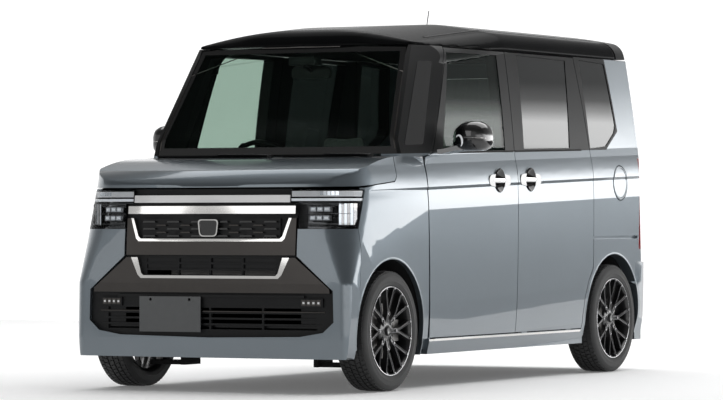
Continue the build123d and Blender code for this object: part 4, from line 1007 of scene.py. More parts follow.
def wiper_arm(mesh, spindle, elbow, tip, blade_from, blade_to, lift):
    """A spindle cap, a tapered arm and a blade with its rubber."""
    cap = [spindle + lift * h for h in (-0.004, 0.010, 0.016)]
    tube(mesh, cap, [13.0, 13.0, 9.0], 16)
    tube(mesh, [spindle + lift * 0.008, elbow + lift * 0.012, tip + lift * 0.012],
         [7.5, 6.0, 4.0], 8)
    tube(mesh, run(blade_from + lift * 0.008, blade_to + lift * 0.008, 8), 5.0, 6)
    tube(mesh, run(blade_from + lift * 0.001, blade_to + lift * 0.001, 8), 2.2, 4, 1)


LID_AT, LID_X, LID_R, LID_STEPS = (2596.0, 988.0), 737.0, 84.0, 64
# The lid's rim: outward from its edge, proud of the side.
LID_RIM = ((3.0, -1.0), (2.2, 1.2), (0.0, 2.2), (-4.0, 2.0), (-9.0, 0.4), (-9.0, -1.0))
CELLS_ROW = 5
# Tail lamp cells: z from and to, outer x, finish.
TAIL_CELLS = ((1004.0, 1092.0, 722.0, 0), (906.0, 990.0, 724.0, 1), (820.0, 892.0, 724.0, 2),
              (672.0, 806.0, 724.0, 0))


class CAR_OT_details(bpy.types.Operator):
    """Build the wipers, screen mouldings, rear lamps, fuel lid ring and roof strips"""
    bl_idname = "kei_car.details"
    bl_label = "Build the small details"

    def execute(self, context):
        body = "body_shell"
        wipers = bmesh.new()
        up = Vector((0, -0.35, 0.94))
        for spindle, tip, a, b in ((40.0, -250.0, -590.0, 50.0), (580.0, 330.0, 100.0, 590.0)):
            wiper_arm(wipers, at(spindle, 78.0, 1094.0), at(spindle - 60.0, 80.0, 1095.0),
                      at(tip, 92.0, 1098.0), at(a, 96.0, 1098.0), at(b, 92.0, 1096.0), up)
        make("wipers_finished", wipers, body, "satin_plastic", "rubber_trim", slot="plastic",
             stands_for=("wipers",))

        gate = surface_tree("tailgate", "tailgate_glass")
        rear_arm = bmesh.new()
        wiper_arm(rear_arm, at(0.0, 2903.0, 1113.0), at(40.0, 2905.0, 1113.0),
                  at(170.0, 2905.0, 1113.0), at(20.0, 2903.0, 1119.0),
                  at(258.0, 2903.0, 1115.0), Vector((0, 0.9, 0.0)))
        make("rear_wiper_finished", rear_arm, "tailgate", "satin_plastic", "rubber_trim",
             slot="plastic", stands_for=("rear_wiper",))

        screen = surface_tree("windscreen", "roof_panel")
        edging = bmesh.new()
        corners = [at(-647.0, 0.0, 1112.0), at(-566.0, 0.0, 1618.0), at(-540.0, 0.0, 1634.0),
                   at(540.0, 0.0, 1634.0), at(566.0, 0.0, 1618.0), at(647.0, 0.0, 1112.0)]
        path = []
        for a, b, steps in zip(corners, corners[1:], (22, 2, 26, 2, 22)):
            path += run(a, b, steps)[:-1]
        strip_along(edging, screen, path + [corners[-1]], (0, 1, 0), 7.0, 1.6)
        make("screen_moulding", edging, body, "gunmetal", slot="plastic")

        roof = surface_tree("roof_panel")
        strips = bmesh.new()
        for _, side in SIDES:
            strip_along(strips, roof, run(at(side * 545.0, 700.0, 0), at(side * 545.0, 2640.0, 0),
                                          40), (0, 0, -1), 15.0, 1.4)
        make("roof_strips", strips, body, "rubber_trim", slot="plastic")

        lid = bmesh.new()
        side = surface_tree("side_frame_left", "fuel_lid")
        middle = at(0, *LID_AT)
        rows = []
        for k in range(LID_STEPS):
            a = 2 * pi * k / LID_STEPS
            p = middle + Vector((0, cos(a), sin(a))) * LID_R * MM
            spot = side.ray_cast(p + Vector((1.2, 0, 0)), Vector((-1, 0, 0)))[0]
            out = (p - middle).normalized()
            x = spot.x if spot else LID_X * MM
            rows.append([lid.verts.new(p + out * r * MM + Vector((x + h * MM, 0, 0)))
                         for r, h in LID_RIM])
        skin(lid, rows, closed=True)
        make("fuel_lid_rim", lid, "fuel_lid", "body_paint", slot="paint", smooth=50.0)

        tree = surface_tree("tail_lamps")
        bars = bmesh.new()
        for _, side in SIDES:
            for z0, z1, x1, slot in TAIL_CELLS:
                pitch = (z1 - z0) / CELLS_ROW
                for k in range(CELLS_ROW):
                    z = z0 + pitch * (k + 0.5)
                    strip_along(bars, tree, run(at(side * 690.0, 0, z), at(side * x1, 0, z), 4),
                                (0, -1, 0), pitch - 4.0, 1.2, slot)
        make("tail_lamp_cells", bars, body, "red_lens", "amber_lens", "white_lens",
             slot="red_lens", smooth=30.0)

        rear = bmesh.new()
        for half, z, steps, wide, proud, slot in (
                (205.0, 842.0, 16, 26.0, 7.0, 0), (560.0, 866.0, 24, 9.0, 5.0, 1),
                (150.0, 1612.0, 12, 16.0, 4.0, 2)):
            strip_along(rear, gate, run(at(-half, 0, z), at(half, 0, z), steps), (0, -1, 0),
                        wide, proud, slot)
        make("tailgate_trims", rear, "tailgate", "gloss_black", "chrome", "red_lens",
             slot="gloss_plastic")

        pipe = bmesh.new()
        tube(pipe, [at(-330.0, y, z) for y, z in ((2500.0, 262.0), (2620.0, 250.0),
                                                  (2760.0, 232.0), (2836.0, 226.0))], 21.0, 20)
        tube(pipe, [at(-330.0, y, 262.0) for y in (2330.0, 2350.0, 2480.0, 2500.0)],
             [40.0, 78.0, 78.0, 40.0], 28)
        make("exhaust", pipe, body, "cast_steel", slot="iron", smooth=50.0)
        return {"FINISHED"}


# ---- front trims ----------------------------------------------------------------------
BADGE_Y, BADGE_Z = -436.0, 762.0
# Slats of the upper grille: name, finish, half widths low and high, half height, first place,
# columns, count.
GRILLE_SLATS = (
    ("grille_dashes", "gloss_black", 34.0, 30.0, 4.0, (-325.0, -428.0, 791.0), 6, 18),
    ("grille_bars", "gunmetal", 27.0, 23.0, 3.0, (-260.0, -427.0, 774.5), 5, 10))
# Intake bars: x from and to, z, height, how proud, finish.
INTAKE_BARS = ((-600.0, -374.0, 375.0, 7.0, 3.0, 0), (-36.0, 600.0, 375.0, 7.0, 3.0, 0),
               (-596.0, -374.0, 318.0, 4.0, 2.0, 1), (-36.0, 580.0, 318.0, 4.0, 2.0, 1))
BAR_STEPS = 28
BOLT_R = 7.0


class CAR_OT_front(bpy.types.Operator):
    """Build the grille dashes and slats, the badge pad and the plate fittings"""
    bl_idname = "kei_car.front"
    bl_label = "Build the front trims"

    def execute(self, context):
        body = "body_shell"
        parts = []
        for name, finish, wide, narrow, half, corner, columns, count in GRILLE_SLATS:
            slat = bmesh.new()
            slab(slat, [at(corner[0] + x, corner[1], corner[2] + z) for x, z in (
                (-wide, -half), (wide, -half), (narrow, half), (-narrow, half))],
                 Vector((0.0, 0.010, 0.0)))
            parts.append(repeat(name, slat, None, finish, False, smooth=0.0, Count=count,
                                Columns=columns, Across=(0.130, 0.0, 0.0),
                                Along=(0.0, 0.0, -0.033), Stagger=(0.0, 0.0, 0.0)))
        back = bmesh.new()
        for half, y, low, high in ((370, -412, 716, 806), (350, -408, 566, 640),
                                   (600, -398, 300, 450)):
            block(back, -half, half, y, y + 3, low, high)
        parts.append(make("screen", back, None, "satin_plastic", smooth=0.0))
        joined("grille_pattern", parts, body)

        # A plain badge pad: a dark plaque in a bright frame.
        badge = bmesh.new()
        plaque = [Vector((x, 0.0, z)) * MM for x, z in (
            (-56.0, 40.0), (56.0, 40.0), (46.0, -40.0), (-46.0, -40.0))]
        outer = [p + at(0.0, BADGE_Y, BADGE_Z) for p in rounded(plaque, 20.0)]
        inner = [p * 0.88 + at(0.0, BADGE_Y, BADGE_Z) for p in rounded(plaque, 20.0)]
        proud = Vector((0.0, -0.004, 0.0))
        loops = [[badge.verts.new(p) for p in ring] for ring in (
            outer, [p + proud for p in outer], [p + proud for p in inner], inner)]
        skin(badge, loops, closed=True)
        slab(badge, [p - proud * 0.2 for p in inner], Vector((0.0, 0.012, 0.0)), 1)
        make("badge_pad", badge, body, "chrome", "gloss_black", slot="chrome", smooth=30.0)

        # Bars across the intakes, set on the grille's own surface.
        tree = surface_tree("front_grille")
        bars = bmesh.new()
        for x0, x1, z, tall, proud, slot in INTAKE_BARS:
            rows = []
            for k in range(BAR_STEPS + 1):
                x = x0 + (x1 - x0) * k / BAR_STEPS
                y = surface_y(tree, x, z)
                if y is None or y > at(0, -385, 0).y:
                    y = rows[-1][0].co.y + proud * MM if rows else at(0, -425, 0).y
                y -= proud * MM
                rows.append([bars.verts.new((x * MM, y + dy, (z + dz) * MM)) for dy, dz in (
                    (0.0, -tall * 0.3), (0.0, tall * 0.3), (0.004, tall / 2), (0.010, tall / 2),
                    (0.010, -tall / 2), (0.004, -tall / 2))])
            skin(bars, rows, slot)
        make("intake_bars", bars, body, "gunmetal", "satin_plastic", slot="plastic",
             smooth=30.0)

        for node, carrier, y, way in (("front_plate", body, -439.4, -1.0),
                                      ("rear_plate", "tailgate", 2922.4, 1.0)):
            bolts = bmesh.new()
            low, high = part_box(node)
            middle, top = (low[0] + high[0]) / 2 / MM, high[2] / MM
            for dx in (-105.0, 105.0):
                slab(bolts, [at(middle + dx + BOLT_R * cos(2 * pi * k / 12), y,
                                top - 14.0 + BOLT_R * sin(2 * pi * k / 12))
                             for k in range(12)], Vector((0, way * 0.0006, 0)))
            make(node + "_bolts", bolts, carrier, "cast_steel", slot="iron")
        return {"FINISHED"}


# ---- lamps ----------------------------------------------------------------------------
def surface_y(tree, x, z):
    """Foremost place of a surface at x and z (millimetres), in metres."""
    spot, _, _, _ = tree.ray_cast(Vector((x * MM, -3.0, z * MM)), Vector((0, 1, 0)))
    return spot.y if spot else None


def lamp_box(mesh, tree, x0, x1, z0, z1, behind, deep, slot):
    """A block set behind the lamp's surface, its face following it along x."""
    steps = max(1, int(abs(x1 - x0) / 22.0))
    rows = []
    for i in range(steps + 1):
        x = x0 + (x1 - x0) * i / steps
        y = surface_y(tree, x, (z0 + z1) / 2)
        if y is None:
            continue
        y += behind * MM
        rows.append([mesh.verts.new((x * MM, y + d * MM, z * MM)) for d, z in (
            (0.0, z0), (0.0, z1), (deep, z1), (deep, z0))])
    if len(rows) > 1:
        skin(mesh, rows, slot)


class CAR_OT_lamps(bpy.types.Operator):
    """Build the headlamps, the light bar and the fog lamps"""
    bl_idname = "kei_car.lamps"
    bl_label = "Build the lamps"

    def execute(self, context):
        solid = merged_copy("headlamps")
        tree = BVHTree.FromBMesh(solid)
        # The bar keeps its solid; the lamps become a shell in front and a dark housing.
        bar, shell, housing = bmesh.new(), bmesh.new(), bmesh.new()
        for face in solid.faces:
            centre = face.calc_center_median()
            if abs(centre.x) < 0.4185:
                target = bar
            else:
                out = Vector((0.62 if centre.x > 0 else -0.62, -0.78, 0.1))
                target = shell if face.normal.dot(out) > 0.45 else housing
            target.faces.new([target.verts.new(v.co) for v in face.verts])
        solid.free()
        bmesh.ops.remove_doubles(shell, verts=shell.verts, dist=2e-6)
        bmesh.ops.solidify(shell, geom=shell.faces[:], thickness=0.0025)
        parts = [make("bar", bar, None, "frosted_bar", smooth=35.0),
                 make("shell", shell, None, "lamp_cover", smooth=35.0),
                 make("housing", housing, None, "gloss_black", smooth=35.0)]
        inside = bmesh.new()
        for _, side in SIDES:
            # Light guide along the top, with its bright lower line and a small turn lamp.
            lamp_box(inside, tree, side * 424, side * 716, 906, 932, 6.0, 16.0, 0)
            lamp_box(inside, tree, side * 424, side * 719, 886, 898, 3.5, 14.0, 1)
            for k in range(5):
                lamp_box(inside, tree, side * (560 + 17 * k), side * (573 + 17 * k), 912, 930,
                         4.0, 8.0, 3)
            # Two rows of small square projectors on dark shelves.
            for z in (808.0, 848.0):
                lamp_box(inside, tree, side * 500, side * 610, z - 15, z + 14, 34.0, 8.0, 5)
                for k in range(3):
                    x = 508.0 + 33.0 * k
                    lamp_box(inside, tree, side * x, side * (x + 27), z - 10, z + 10, 26.0,
                             8.0, 3)
                    lamp_box(inside, tree, side * (x + 6), side * (x + 21), z - 4, z + 5,
                             24.0, 2.0, 1)
            for z in (780.0, 828.0, 872.0):
                lamp_box(inside, tree, side * 470, side * 690, z - 1.2, z + 1.2, 10.0, 34.0, 5)
            # A pale reflector wall behind the lamp's outer corner.
            for k in range(6):
                lamp_box(inside, tree, side * (640 + 12 * k), side * (650 + 12 * k), 776, 874,
                         30.0 - 4.0 * k, 3.0, 2 if k % 2 else 3)
        parts.append(make("inside", inside, None, "frosted_bar", "white_lens", "satin_chrome",
                          "mirror_glass", "amber_lens", "gloss_black", smooth=0.0))
        joined("headlamps_fitted", parts, "body_shell",
               stands_for=("headlamps",))

        fog = merged_copy("fog_lamps")
        tree = BVHTree.FromBMesh(fog)
        inner = min(abs(v.co.x) for v in fog.verts) / MM + 7.0
        fog.free()
        cells = bmesh.new()
        width = (587.0 - inner) / 4
        for _, side in SIDES:
            for k in range(4):
                x = side * (inner + width * k)
                lamp_box(cells, tree, x, x + side * (width - 3), 404, 432, -1.5, 4.0, 0)
                lamp_box(cells, tree, x + side * 6, x + side * (width - 9), 413, 423, -2.4,
                         2.0, 1)
        make("fog_lamp_cells", cells, "body_shell", "gunmetal", "frosted_bar",
             slot="lens", smooth=0.0)
        return {"FINISHED"}


# ---- mirrors --------------------------------------------------------------------------
# Sections of a mirror's housing: x, low and high edge, foremost and rearmost place.
MIRROR_SECTIONS = (
    (741.0, 1152.0, 1190.0, 630.0, 676.0), (745.0, 1140.0, 1208.0, 612.0, 683.0),
    (760.0, 1131.0, 1240.0, 592.0, 689.0), (786.0, 1127.5, 1258.0, 577.0, 690.0),
    (818.0, 1126.5, 1268.0, 568.0, 690.0), (850.0, 1126.5, 1269.5, 567.5, 689.0),
    (880.0, 1127.5, 1266.0, 571.0, 688.0), (905.0, 1131.0, 1256.0, 580.0, 686.0),
    (920.0, 1138.0, 1240.0, 594.0, 683.0), (928.0, 1150.0, 1220.0, 616.0, 679.0),
    (931.0, 1166.0, 1200.0, 640.0, 672.0))
MIRROR_ROUND = 36


def mirror_section(x, low, high, front, rear):
    """A rounded loop, squarer at the glass and blunt in front, with a crease."""
    middle, half = (low + high) / 2, (high - low) / 2
    deep = (front + rear) / 2
    loop = []
    for k in range(MIRROR_ROUND):
        c, s = cos(2 * pi * k / MIRROR_ROUND), sin(2 * pi * k / MIRROR_ROUND)
        y = deep + (rear - deep) * c ** 0.35 if c > 0 else deep - (deep - front) * (-c) ** 0.85
        z = middle + half * (abs(s) ** 0.72) * (1 if s > 0 else -1)
        if c < -0.2:
            y += 3.0 * max(0.0, 1.0 - abs(z - 1188.0) / 8.0)
        loop.append((x, y, z))
    return loop


def front_spots(tree, side, points):
    """Where a surface is met from in front at (x, z) points, leaving out the misses."""
    spots = [tree.ray_cast(at(side * x, 300.0, z), Vector((0, 1, 0)))[0] for x, z in points]
    return [spot for spot in spots if spot]


class CAR_OT_mirrors(bpy.types.Operator):
    """Build the door mirrors with their feet, lamps and glass"""
    bl_idname = "kei_car.mirrors"
    bl_label = "Build the mirrors"

    def execute(self, context):
        for word, side in SIDES:
            shell = bmesh.new()
            rings = [[shell.verts.new(at(side * x, y, z)) for x, y, z in mirror_section(*row)]
                     for row in MIRROR_SECTIONS]
            skin(shell, rings)
            bmesh.ops.recalc_face_normals(shell, faces=shell.faces)
            tree = BVHTree.FromBMesh(shell)
            foot = [at(side * x, y, z) for x, y, z in (
                (712.0, 510.0, 1116.0), (712.0, 640.0, 1118.0), (770.0, 662.0, 1134.0),
                (850.0, 664.0, 1140.0), (850.0, 612.0, 1140.0), (768.0, 584.0, 1134.0),
                (735.0, 530.0, 1120.0))]
            slab(shell, [p - Vector((0, 0, 0.005)) for p in foot], Vector((0, 0, 0.022)))
            make("mirror_shell_" + word, shell, "door_" + word, "gloss_black",
                 slot="gloss_plastic", stands_for=("mirror_" + word,), smooth=50.0)

            details = bmesh.new()
            glass = rounded([at(side * x, 690.2, z) for x, z in (
                (766.0, 1142.0), (912.0, 1142.0), (912.0, 1248.0), (774.0, 1252.0))], 30.0)
            slab(details, glass, Vector((0, 0.0025, 0)))
            arc = [radians(135.0 - 200.0 * k / 14) for k in range(15)]
            lamp = front_spots(tree, side, [(794.0 + 22.0 * cos(a), 1174.0 + 27.0 * sin(a))
                                            for a in arc])
            tube(details, lamp, [2.0 + 4.0 * sin(pi * k / (len(lamp) - 1))
                                 for k in range(len(lamp))], 8, 1)
            line = [(824.0 + 100.0 * k / 11, 1192.0 - 0.05 * 100.0 * k / 11) for k in range(12)]
            tube(details, front_spots(tree, side, line), 1.3, 6, 2)
            make("mirror_details_" + word, details, "door_" + word, "mirror_glass",
                 "white_lens", "satin_chrome", slot="gloss_plastic")
        return {"FINISHED"}


# ---- trims ----------------------------------------------------------------------------
def side_x(trees, y, z, side):
    """Outer face of the car's side at y and z, in metres, or None over an opening."""
    best = None
    for tree in trees:
        spot = tree.ray_cast(at(side * 900, y, z), Vector((-side, 0, 0)))[0]
        if spot and (best is None or side * spot.x > side * best):
            best = spot.x
    return best


def strip_on_side(mesh, trees, points, side, tall, proud):
    """A moulding along (y, z) points, standing proud of the car's side."""
    rows = []
    for y, z in points:
        x = side_x(trees, y, z, side)
        if x is None:
            continue
        out = side * proud * MM
        rows.append([mesh.verts.new((x + dx, (y - MID_Y) * MM, (z + dz) * MM)) for dx, dz in (
            (-side * 0.003, -tall / 2), (out * 0.5, -tall / 2), (out, -tall * 0.2),
            (out, tall * 0.2), (out * 0.5, tall / 2), (-side * 0.003, tall / 2))])
    skin(mesh, rows)


# An arch's lip: radius and how proud, on the side's surface at a radius just outside it.
ARCH_LIP, LIP_R = ((335.2, -2.0), (335.2, 0.4), (337.0, 0.7), (341.0, 0.6), (344.0, 0.1)), 348.0
ARCH_FROM, ARCH_SPAN, ARCH_STEPS = -14.0, 208.0, 60     # degrees, degrees, count
HANDLE_X = 737.4
BOWL_R, BOWL_SPHERE, BOWL_STEPS, BOWL_ROUND = 60.0, 70.0, 8, 40


def arch_lip(mesh, trees, axle, side):
    """A thin lip round a wheel arch, left out where the side has an opening."""
    rows = []
    for i in range(ARCH_STEPS + 1):
        a = radians(ARCH_FROM + ARCH_SPAN * i / ARCH_STEPS)
        x = side_x(trees, axle + LIP_R * cos(a), AXLE_Z + LIP_R * sin(a), side)
        rows.append(x and [Vector((x + side * proud * MM, y_at(axle + r * cos(a)),
                                   (AXLE_Z + r * sin(a)) * MM)) for r, proud in ARCH_LIP])
    for pair in zip(rows, rows[1:]):
        if all(pair):
            skin(mesh, [[mesh.verts.new(p) for p in row] for row in pair], ends=False)


def handle_pull(name, body, node, y0, y1, z, side):
    """A pull, chrome on its upper half and gloss black on its lower half, with a thin black strip
    low on its face, on two feet.
    """
    pull = bmesh.new()
    middle = (y0 + y1) / 2
    outline = rounded([Vector((0, y, h)) for y, h in (
        (y0 + 12, z - 12), (y1 - 12, z - 12), (y1 - 12, z + 12), (y0 + 12, z + 12))], 11000.0, 5)
    rings = [[pull.verts.new(at(side * (HANDLE_X + out), middle + (p.y - middle)
                                * (1 - shrink / 110), z + (p.z - z) * (1 - shrink / 12)))
              for p in outline]
             for out, shrink in ((-9.0, 0.0), (-2.0, 0.0), (-0.3, 1.6), (0.0, 3.5))]
    skin(pull, rings, ends=False)
    # Chrome above the pull's middle height, gloss black below it.
    for face in pull.faces:
        face.material_index = 0 if face.calc_center_median().z > z * MM else 1
    pull.faces.new(rings[-1]).material_index = 0
    pull.faces.new(list(reversed(rings[0]))).material_index = 1
    for y in (y0 + 16, y1 - 40):
        block(pull, side * 708.0, side * 730.0, y, y + 24, z - 9, z + 9, 1)
    low_strip = bmesh.new()
    slab(low_strip, [at(side * (HANDLE_X + 0.05), y, h) for y, h in (
        (y0 + 18, z - 9), (y1 - 18, z - 9), (y1 - 14, z - 2), (y0 + 14, z - 2))],
         Vector((-side * 0.0006, 0, 0)))
    parts = [make("pull", pull, None, "chrome", "gloss_black"),
             make("pull_low_strip", low_strip, None, "gloss_black", smooth=0.0)]
    joined(name, parts, body, stands_for=(node,))


def handle_bowl_shade(name, body, middle, z, side):
    """A finger recess above and below a pull, lined in gloss black as painted shade, with dark
    plates behind the pull's ends as its painted shadow.
    """
    # The gloss black lining of the recess is painted shade.
    shade_bowl = bmesh.new()
    tip, *rings = [[shade_bowl.verts.new(at(
        side * (771.5 - (BOWL_SPHERE ** 2 - r ** 2) ** 0.5 + 0.7),
        middle + r * cos(2 * pi * k / BOWL_ROUND), z + r * sin(2 * pi * k / BOWL_ROUND)))
        for k in range(BOWL_ROUND if r else 1)]
        for r in (BOWL_R * i / BOWL_STEPS for i in range(BOWL_STEPS + 1))]
    for k in range(BOWL_ROUND):
        shade_bowl.faces.new((tip[0], rings[0][k], rings[0][(k + 1) % BOWL_ROUND]))
    skin(shade_bowl, rings, ends=False)
    bmesh.ops.solidify(shade_bowl, geom=shade_bowl.faces[:], thickness=0.0005)
    # Dark plates at both ends of the pull: painted shadow round it.
    for end in (-1.0, 1.0):
        turns = [radians(-90.0 + 180.0 * k / 16) for k in range(17)]
        shadow_lobe = [(middle + end * (92.0 + 28.0 * cos(t)), z + 27.0 * sin(t)) for t in turns]
        shadow_lobe += [(middle + end * 51.0, z + 31.0), (middle + end * 59.5, z),
                 (middle + end * 51.0, z - 31.0)]
        slab(shade_bowl, [at(side * 737.0, y, h) for y, h in shadow_lobe], Vector((side * 0.0011, 0, 0)))
    make(name, shade_bowl, body, "gloss_black", slot="gloss_plastic")


def pillar_point(side, share, z, proud):
    """A place on the slanting face between the screen and the front door."""
    up = (z - 1100.0) / 700.0
    low = Vector((672.0 + 44.0 * share, 158.0 + 272.0 * share, z))
    high = Vector((560.0 + 76.0 * share, 590.0 + 210.0 * share, z))
    p = low.lerp(high, up)
    return at(side * (p.x + proud * 0.97), p.y - proud * 0.2, z)


class CAR_OT_trims(bpy.types.Operator):
    """Build the quarter windows, belt mouldings, arch lips, pulls, and handle bowls lined black as
    painted shade
    """
    bl_idname = "kei_car.trims"
    bl_label = "Build the trims"

    def execute(self, context):
        for word, side in SIDES:
            trees = [surface_tree(node) for node in (
                "side_frame_" + word, "front_wings", "front_bumper", "rear_bumper",
                "sliding_doors", "door_" + word)]

            pane = bmesh.new()
            outline = [pillar_point(side, s, z, 1.2) for s, z in (
                (0.20, 1150.0), (0.74, 1156.0), (0.66, 1560.0), (0.24, 1560.0))]
            slab(pane, rounded(outline, 16.0), Vector((-side * 0.001, 0.0003, 0)))
            make("front_quarter_pane_" + word, pane, "body_shell", "gloss_black",
                 slot="dark_glass", smooth=30.0)

            lips = bmesh.new()
            for axle in (0.0, WHEELBASE):
                arch_lip(lips, trees[:4], axle, side)
            bmesh.ops.remove_doubles(lips, verts=lips.verts, dist=1e-5)
            bmesh.ops.holes_fill(lips, edges=[e for e in lips.edges if e.is_boundary])
            make("arch_lips_" + word, lips, "body_shell", "body_paint", slot="paint",
                 smooth=50.0)

            for body, low, high, first in (("door_" + word, 560.0, 1344.0, trees[5:]),
                                           ("body_shell", 1366.0, 2150.0, trees[4:5])):
                belt_strip = bmesh.new()
                places = [low + (high - low) * i / 24 for i in range(25)]
                strip_on_side(belt_strip, first,
                              [(y, 1117.0 + (y - BELT_Y) * BELT_RISE) for y in places],
                              side, 9.0, 2.2)
                make("belt_moulding_%s_%s" % (body, word), belt_strip, body, "rubber_trim",
                     slot="plastic")

            for body, node, y0, y1, z in (
                    ("door_" + word, "door_handle_" + word, 1030.0, 1266.0, 990.0),
                    ("body_shell", "slide_handles", 1383.0, 1620.0, 997.0)):
                ending = "_%s_%s" % (body, word)
                handle_pull("pull" + ending, body, node, y0, y1, z, side)
                # Each pull sits in a black recess that is painted shade.
                handle_bowl_shade("shade_bowl" + ending, body, (y0 + y1) / 2, z, side)
        return {"FINISHED"}


# ---- wheels ---------------------------------------------------------------------------
RIM_BARREL = [(71.0, 208.6), (76.0, 207.6), (76.5, 204.0), (70.0, 200.5), (62.0, 197.0),
              (30.0, 194.0), (-56.0, 194.0), (-66.0, 198.0), (-72.0, 204.0), (-75.0, 208.6),
              (-68.0, 208.6), (-62.0, 203.0), (-46.0, 199.5), (28.0, 198.5), (60.0, 203.0)]
RIM_RING = [(74.0, 203.6), (77.4, 204.2), (77.8, 206.6), (76.4, 208.4), (73.0, 208.4)]
HUB = [(20.0, 8.0), (56.0, 8.0), (57.5, 30.0), (56.0, 39.0), (51.0, 62.0), (44.0, 67.0),
       (26.0, 62.0), (20.0, 40.0)]
HUB_CAP = [(54.0, 0.01), (65.5, 0.01), (65.5, 15.0), (67.5, 18.5), (66.5, 22.0), (60.0, 24.0),
           (54.0, 24.0)]
TYRE = [(66.0, 206.5), (74.0, 210.5), (78.5, 218.0), (80.6, 229.0), (81.6, 230.0),
        (81.8, 233.0), (81.2, 234.5), (81.9, 243.0), (81.0, 252.0), (81.6, 253.0),
        (80.6, 256.0), (78.5, 263.0), (74.0, 269.5), (68.0, 273.6), (62.0, 274.6)]
TREAD_ROWS = ((-56.0, 20.0, 0.0), (-29.0, 20.0, 0.5), (0.0, 22.0, 0.0), (29.0, 20.0, 0.5),
              (56.0, 20.0, 0.0))
SPOKE_EDGE = ((-1.0, 0.0), (-0.72, 0.4), (-0.55, -1.8), (0.55, -1.8), (0.72, 0.4), (1.0, 0.0),
              (0.82, -24.0), (-0.82, -24.0))


def spoke_bar(mesh, start, end, bright):
    """One leg of a spoke. Ends are (radius, degrees, half width, outward place)."""
    ends = []
    a, b = (Vector((0.0, r * sin(radians(g)), r * cos(radians(g)))) for r, g, _, _ in
            (start, end))
    across = (b - a).normalized().cross(Vector((1.0, 0.0, 0.0)))
    for centre, (_, _, half, out) in ((a, start), (b, end)):
        ends.append([(centre + across * half * u + Vector((out + d, 0.0, 0.0))) * MM
                     for u, d in SPOKE_EDGE])
    if bright:
        for j in (0, 4):
            strip = [ends[0][j], ends[0][j + 1], ends[1][j + 1], ends[1][j]]
            slab(mesh, [p + Vector((0.0002, 0.0, 0.0)) for p in strip],
                 Vector((0.0006, 0.0, 0.0)))
        return
    skin(mesh, [[mesh.verts.new(p) for p in ring] for ring in ends])


def spoke_item(bright, fork):
    """A forked spoke, or its thin bright edges."""
    mesh = bmesh.new()
    spoke_bar(mesh, (36.0, 0.0, 11.0, 55.0), (98.0, 0.0, 9.0, 62.0), bright)
    for lean in (-1.0, 1.0):
        spoke_bar(mesh, (90.0, lean * 0.6, 5.4, 61.5), (197.0, lean * fork, 6.6, 72.5), bright)
    return mesh


def stud_item(radius, face, length, sides, place):
    """A short bar with a chamfered outer end, at a radius above the axle."""
    mesh = bmesh.new()
    rings = []
    for out, share in ((face - length, 1.0), (face - 1.5, 1.0), (face, 0.7)):
        rings.append([mesh.verts.new(Vector((out, radius * share * sin(2 * pi * k / sides),
                                             place + radius * share * cos(2 * pi * k / sides)))
                                     * MM) for k in range(sides)])
    skin(mesh, rings)
    return mesh


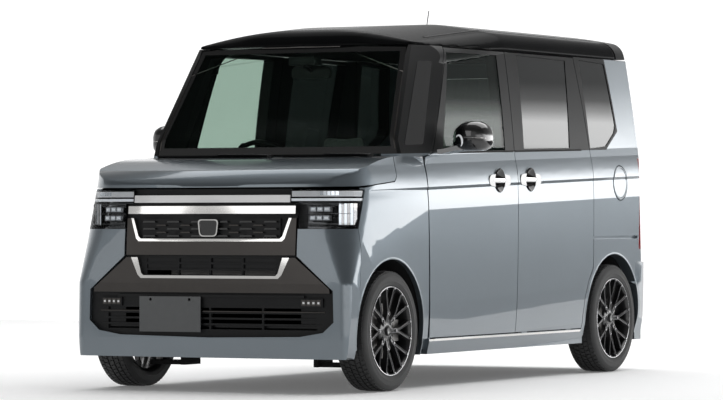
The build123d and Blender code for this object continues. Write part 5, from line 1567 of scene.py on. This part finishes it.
class CAR_OT_wheels(bpy.types.Operator):
    """Build the four forked-spoke wheels and their treaded tyres"""
    bl_idname = "kei_car.wheels"
    bl_label = "Build the wheels"

    def execute(self, context):
        want = context.scene.kei_wheels
        step = 2.0 * pi / want.spokes
        middle = (0.0, 0.0, 0.0)
        for corner, y, side in WHEELS:
            body, centre = "wheel_" + corner, at(side * WHEEL_X, y, AXLE_Z)
            rim = bmesh.new()
            lathe(rim, RIM_BARREL, 96)
            lathe(rim, RIM_RING, 96, slot=1)
            lathe(rim, HUB, 40)
            lathe(rim, HUB_CAP, 32, slot=2, loop=False)
            tube(rim, [Vector((0.058, 0.0, -0.190)), Vector((0.076, 0.0, -0.184))], 3.0, 8, 3)
            parts = [make("barrel", rim, None, "wheel_black", "machined_alloy",
                          "wheel_black", "rubber_trim")]
            fork = 90.0 / want.spokes
            for name, item, finish, count, start in (
                    ("spokes", spoke_item(False, fork), "wheel_black", want.spokes, 0.0),
                    ("spoke_faces", spoke_item(True, fork), "spoke_alloy", want.spokes, 0.0),
                    ("tips", stud_item(5.2, 78.0, 7.0, 8, 200.5), "machined_alloy",
                     want.spokes * 2, step / 4),
                    ("root_lugs", stud_item(6.5, 64.5, 7.0, 8, 82.0), "machined_alloy",
                     want.spokes, 0.0),
                    ("nuts", stud_item(9.5, 63.0, 22.0, 6, 50.0), "machined_alloy", 4,
                     pi / 4)):
                parts.append(repeat(name, item, None, finish, True, smooth=30.0,
                                    Count=count, Step=2.0 * pi / count, Start=start,
                                    Centre=middle))
            joined("rim_" + corner + "_finished", parts, body,
                   stands_for=("rim_" + corner,), place=(centre, side))

            tyre = bmesh.new()
            outline = TYRE + [(-x, r) for x, r in reversed(TYRE)]
            inner = [(-62.0, 208.0), (-70.0, 226.0), (-72.0, 248.0), (-60.0, 264.0),
                     (60.0, 264.0), (72.0, 248.0), (70.0, 226.0), (62.0, 208.0)]
            lathe(tyre, outline + inner, 120)
            parts = [make("carcass", tyre, None, "tyre_rubber", smooth=32.0)]
            turn = 2.0 * pi / want.tread_blocks
            for x, width, shift in TREAD_ROWS:
                block_mesh = bmesh.new()
                long = 276.0 * turn * 0.40
                lean = 3.0 if x > 0 else -3.0
                low = [Vector((u * width / 2 + x, v * long + u * lean, 271.0)) * MM
                       for u, v in ((-1, -1), (1, -1), (1, 1), (-1, 1))]
                slab(block_mesh, low, Vector((0, 0, (9.4 if abs(x) < 40 else 7.2) * MM)))
                parts.append(repeat("blocks", block_mesh, None, "tyre_rubber", True,
                                    smooth=0.0, Count=want.tread_blocks, Step=turn,
                                    Start=shift * turn, Centre=middle))
            joined("tyre_" + corner + "_treaded", parts, body,
                   stands_for=("tyre_" + corner,), place=(centre, side))
        return {"FINISHED"}


OPERATORS = (CAR_OT_finish_panels, CAR_OT_soft_skins, CAR_OT_wheels, CAR_OT_mirrors, CAR_OT_lamps,
             CAR_OT_front, CAR_OT_cabin, CAR_OT_dash, CAR_OT_trims, CAR_OT_details,
             CAR_OT_stage)


class CAR_PT_panel(bpy.types.Panel):
    """Kei car tools"""
    bl_label = "Kei car"
    bl_idname = "CAR_PT_panel"
    bl_space_type = "VIEW_3D"
    bl_region_type = "UI"
    bl_category = "Kei car"

    def draw(self, context):
        for group in (context.scene.kei_look, context.scene.kei_wheels):
            for key in group.__annotations__:
                self.layout.prop(group, key)
        for operator in OPERATORS:
            self.layout.operator(operator.bl_idname)


GROUPS = (("kei_look", CarLook), ("kei_wheels", CarWheels))


def register():
    for key, group in GROUPS:
        bpy.utils.register_class(group)
        setattr(bpy.types.Scene, key, bpy.props.PointerProperty(type=group))
    for made in (*OPERATORS, CAR_PT_panel):
        bpy.utils.register_class(made)


def unregister():
    for made in (CAR_PT_panel, *reversed(OPERATORS)):
        bpy.utils.unregister_class(made)
    for key, group in reversed(GROUPS):
        delattr(bpy.types.Scene, key)
        bpy.utils.unregister_class(group)


def main():
    register()
    for operator in OPERATORS:
        space, name = operator.bl_idname.split(".")
        getattr(getattr(bpy.ops, space), name)()


if __name__ == "__main__":
    main()
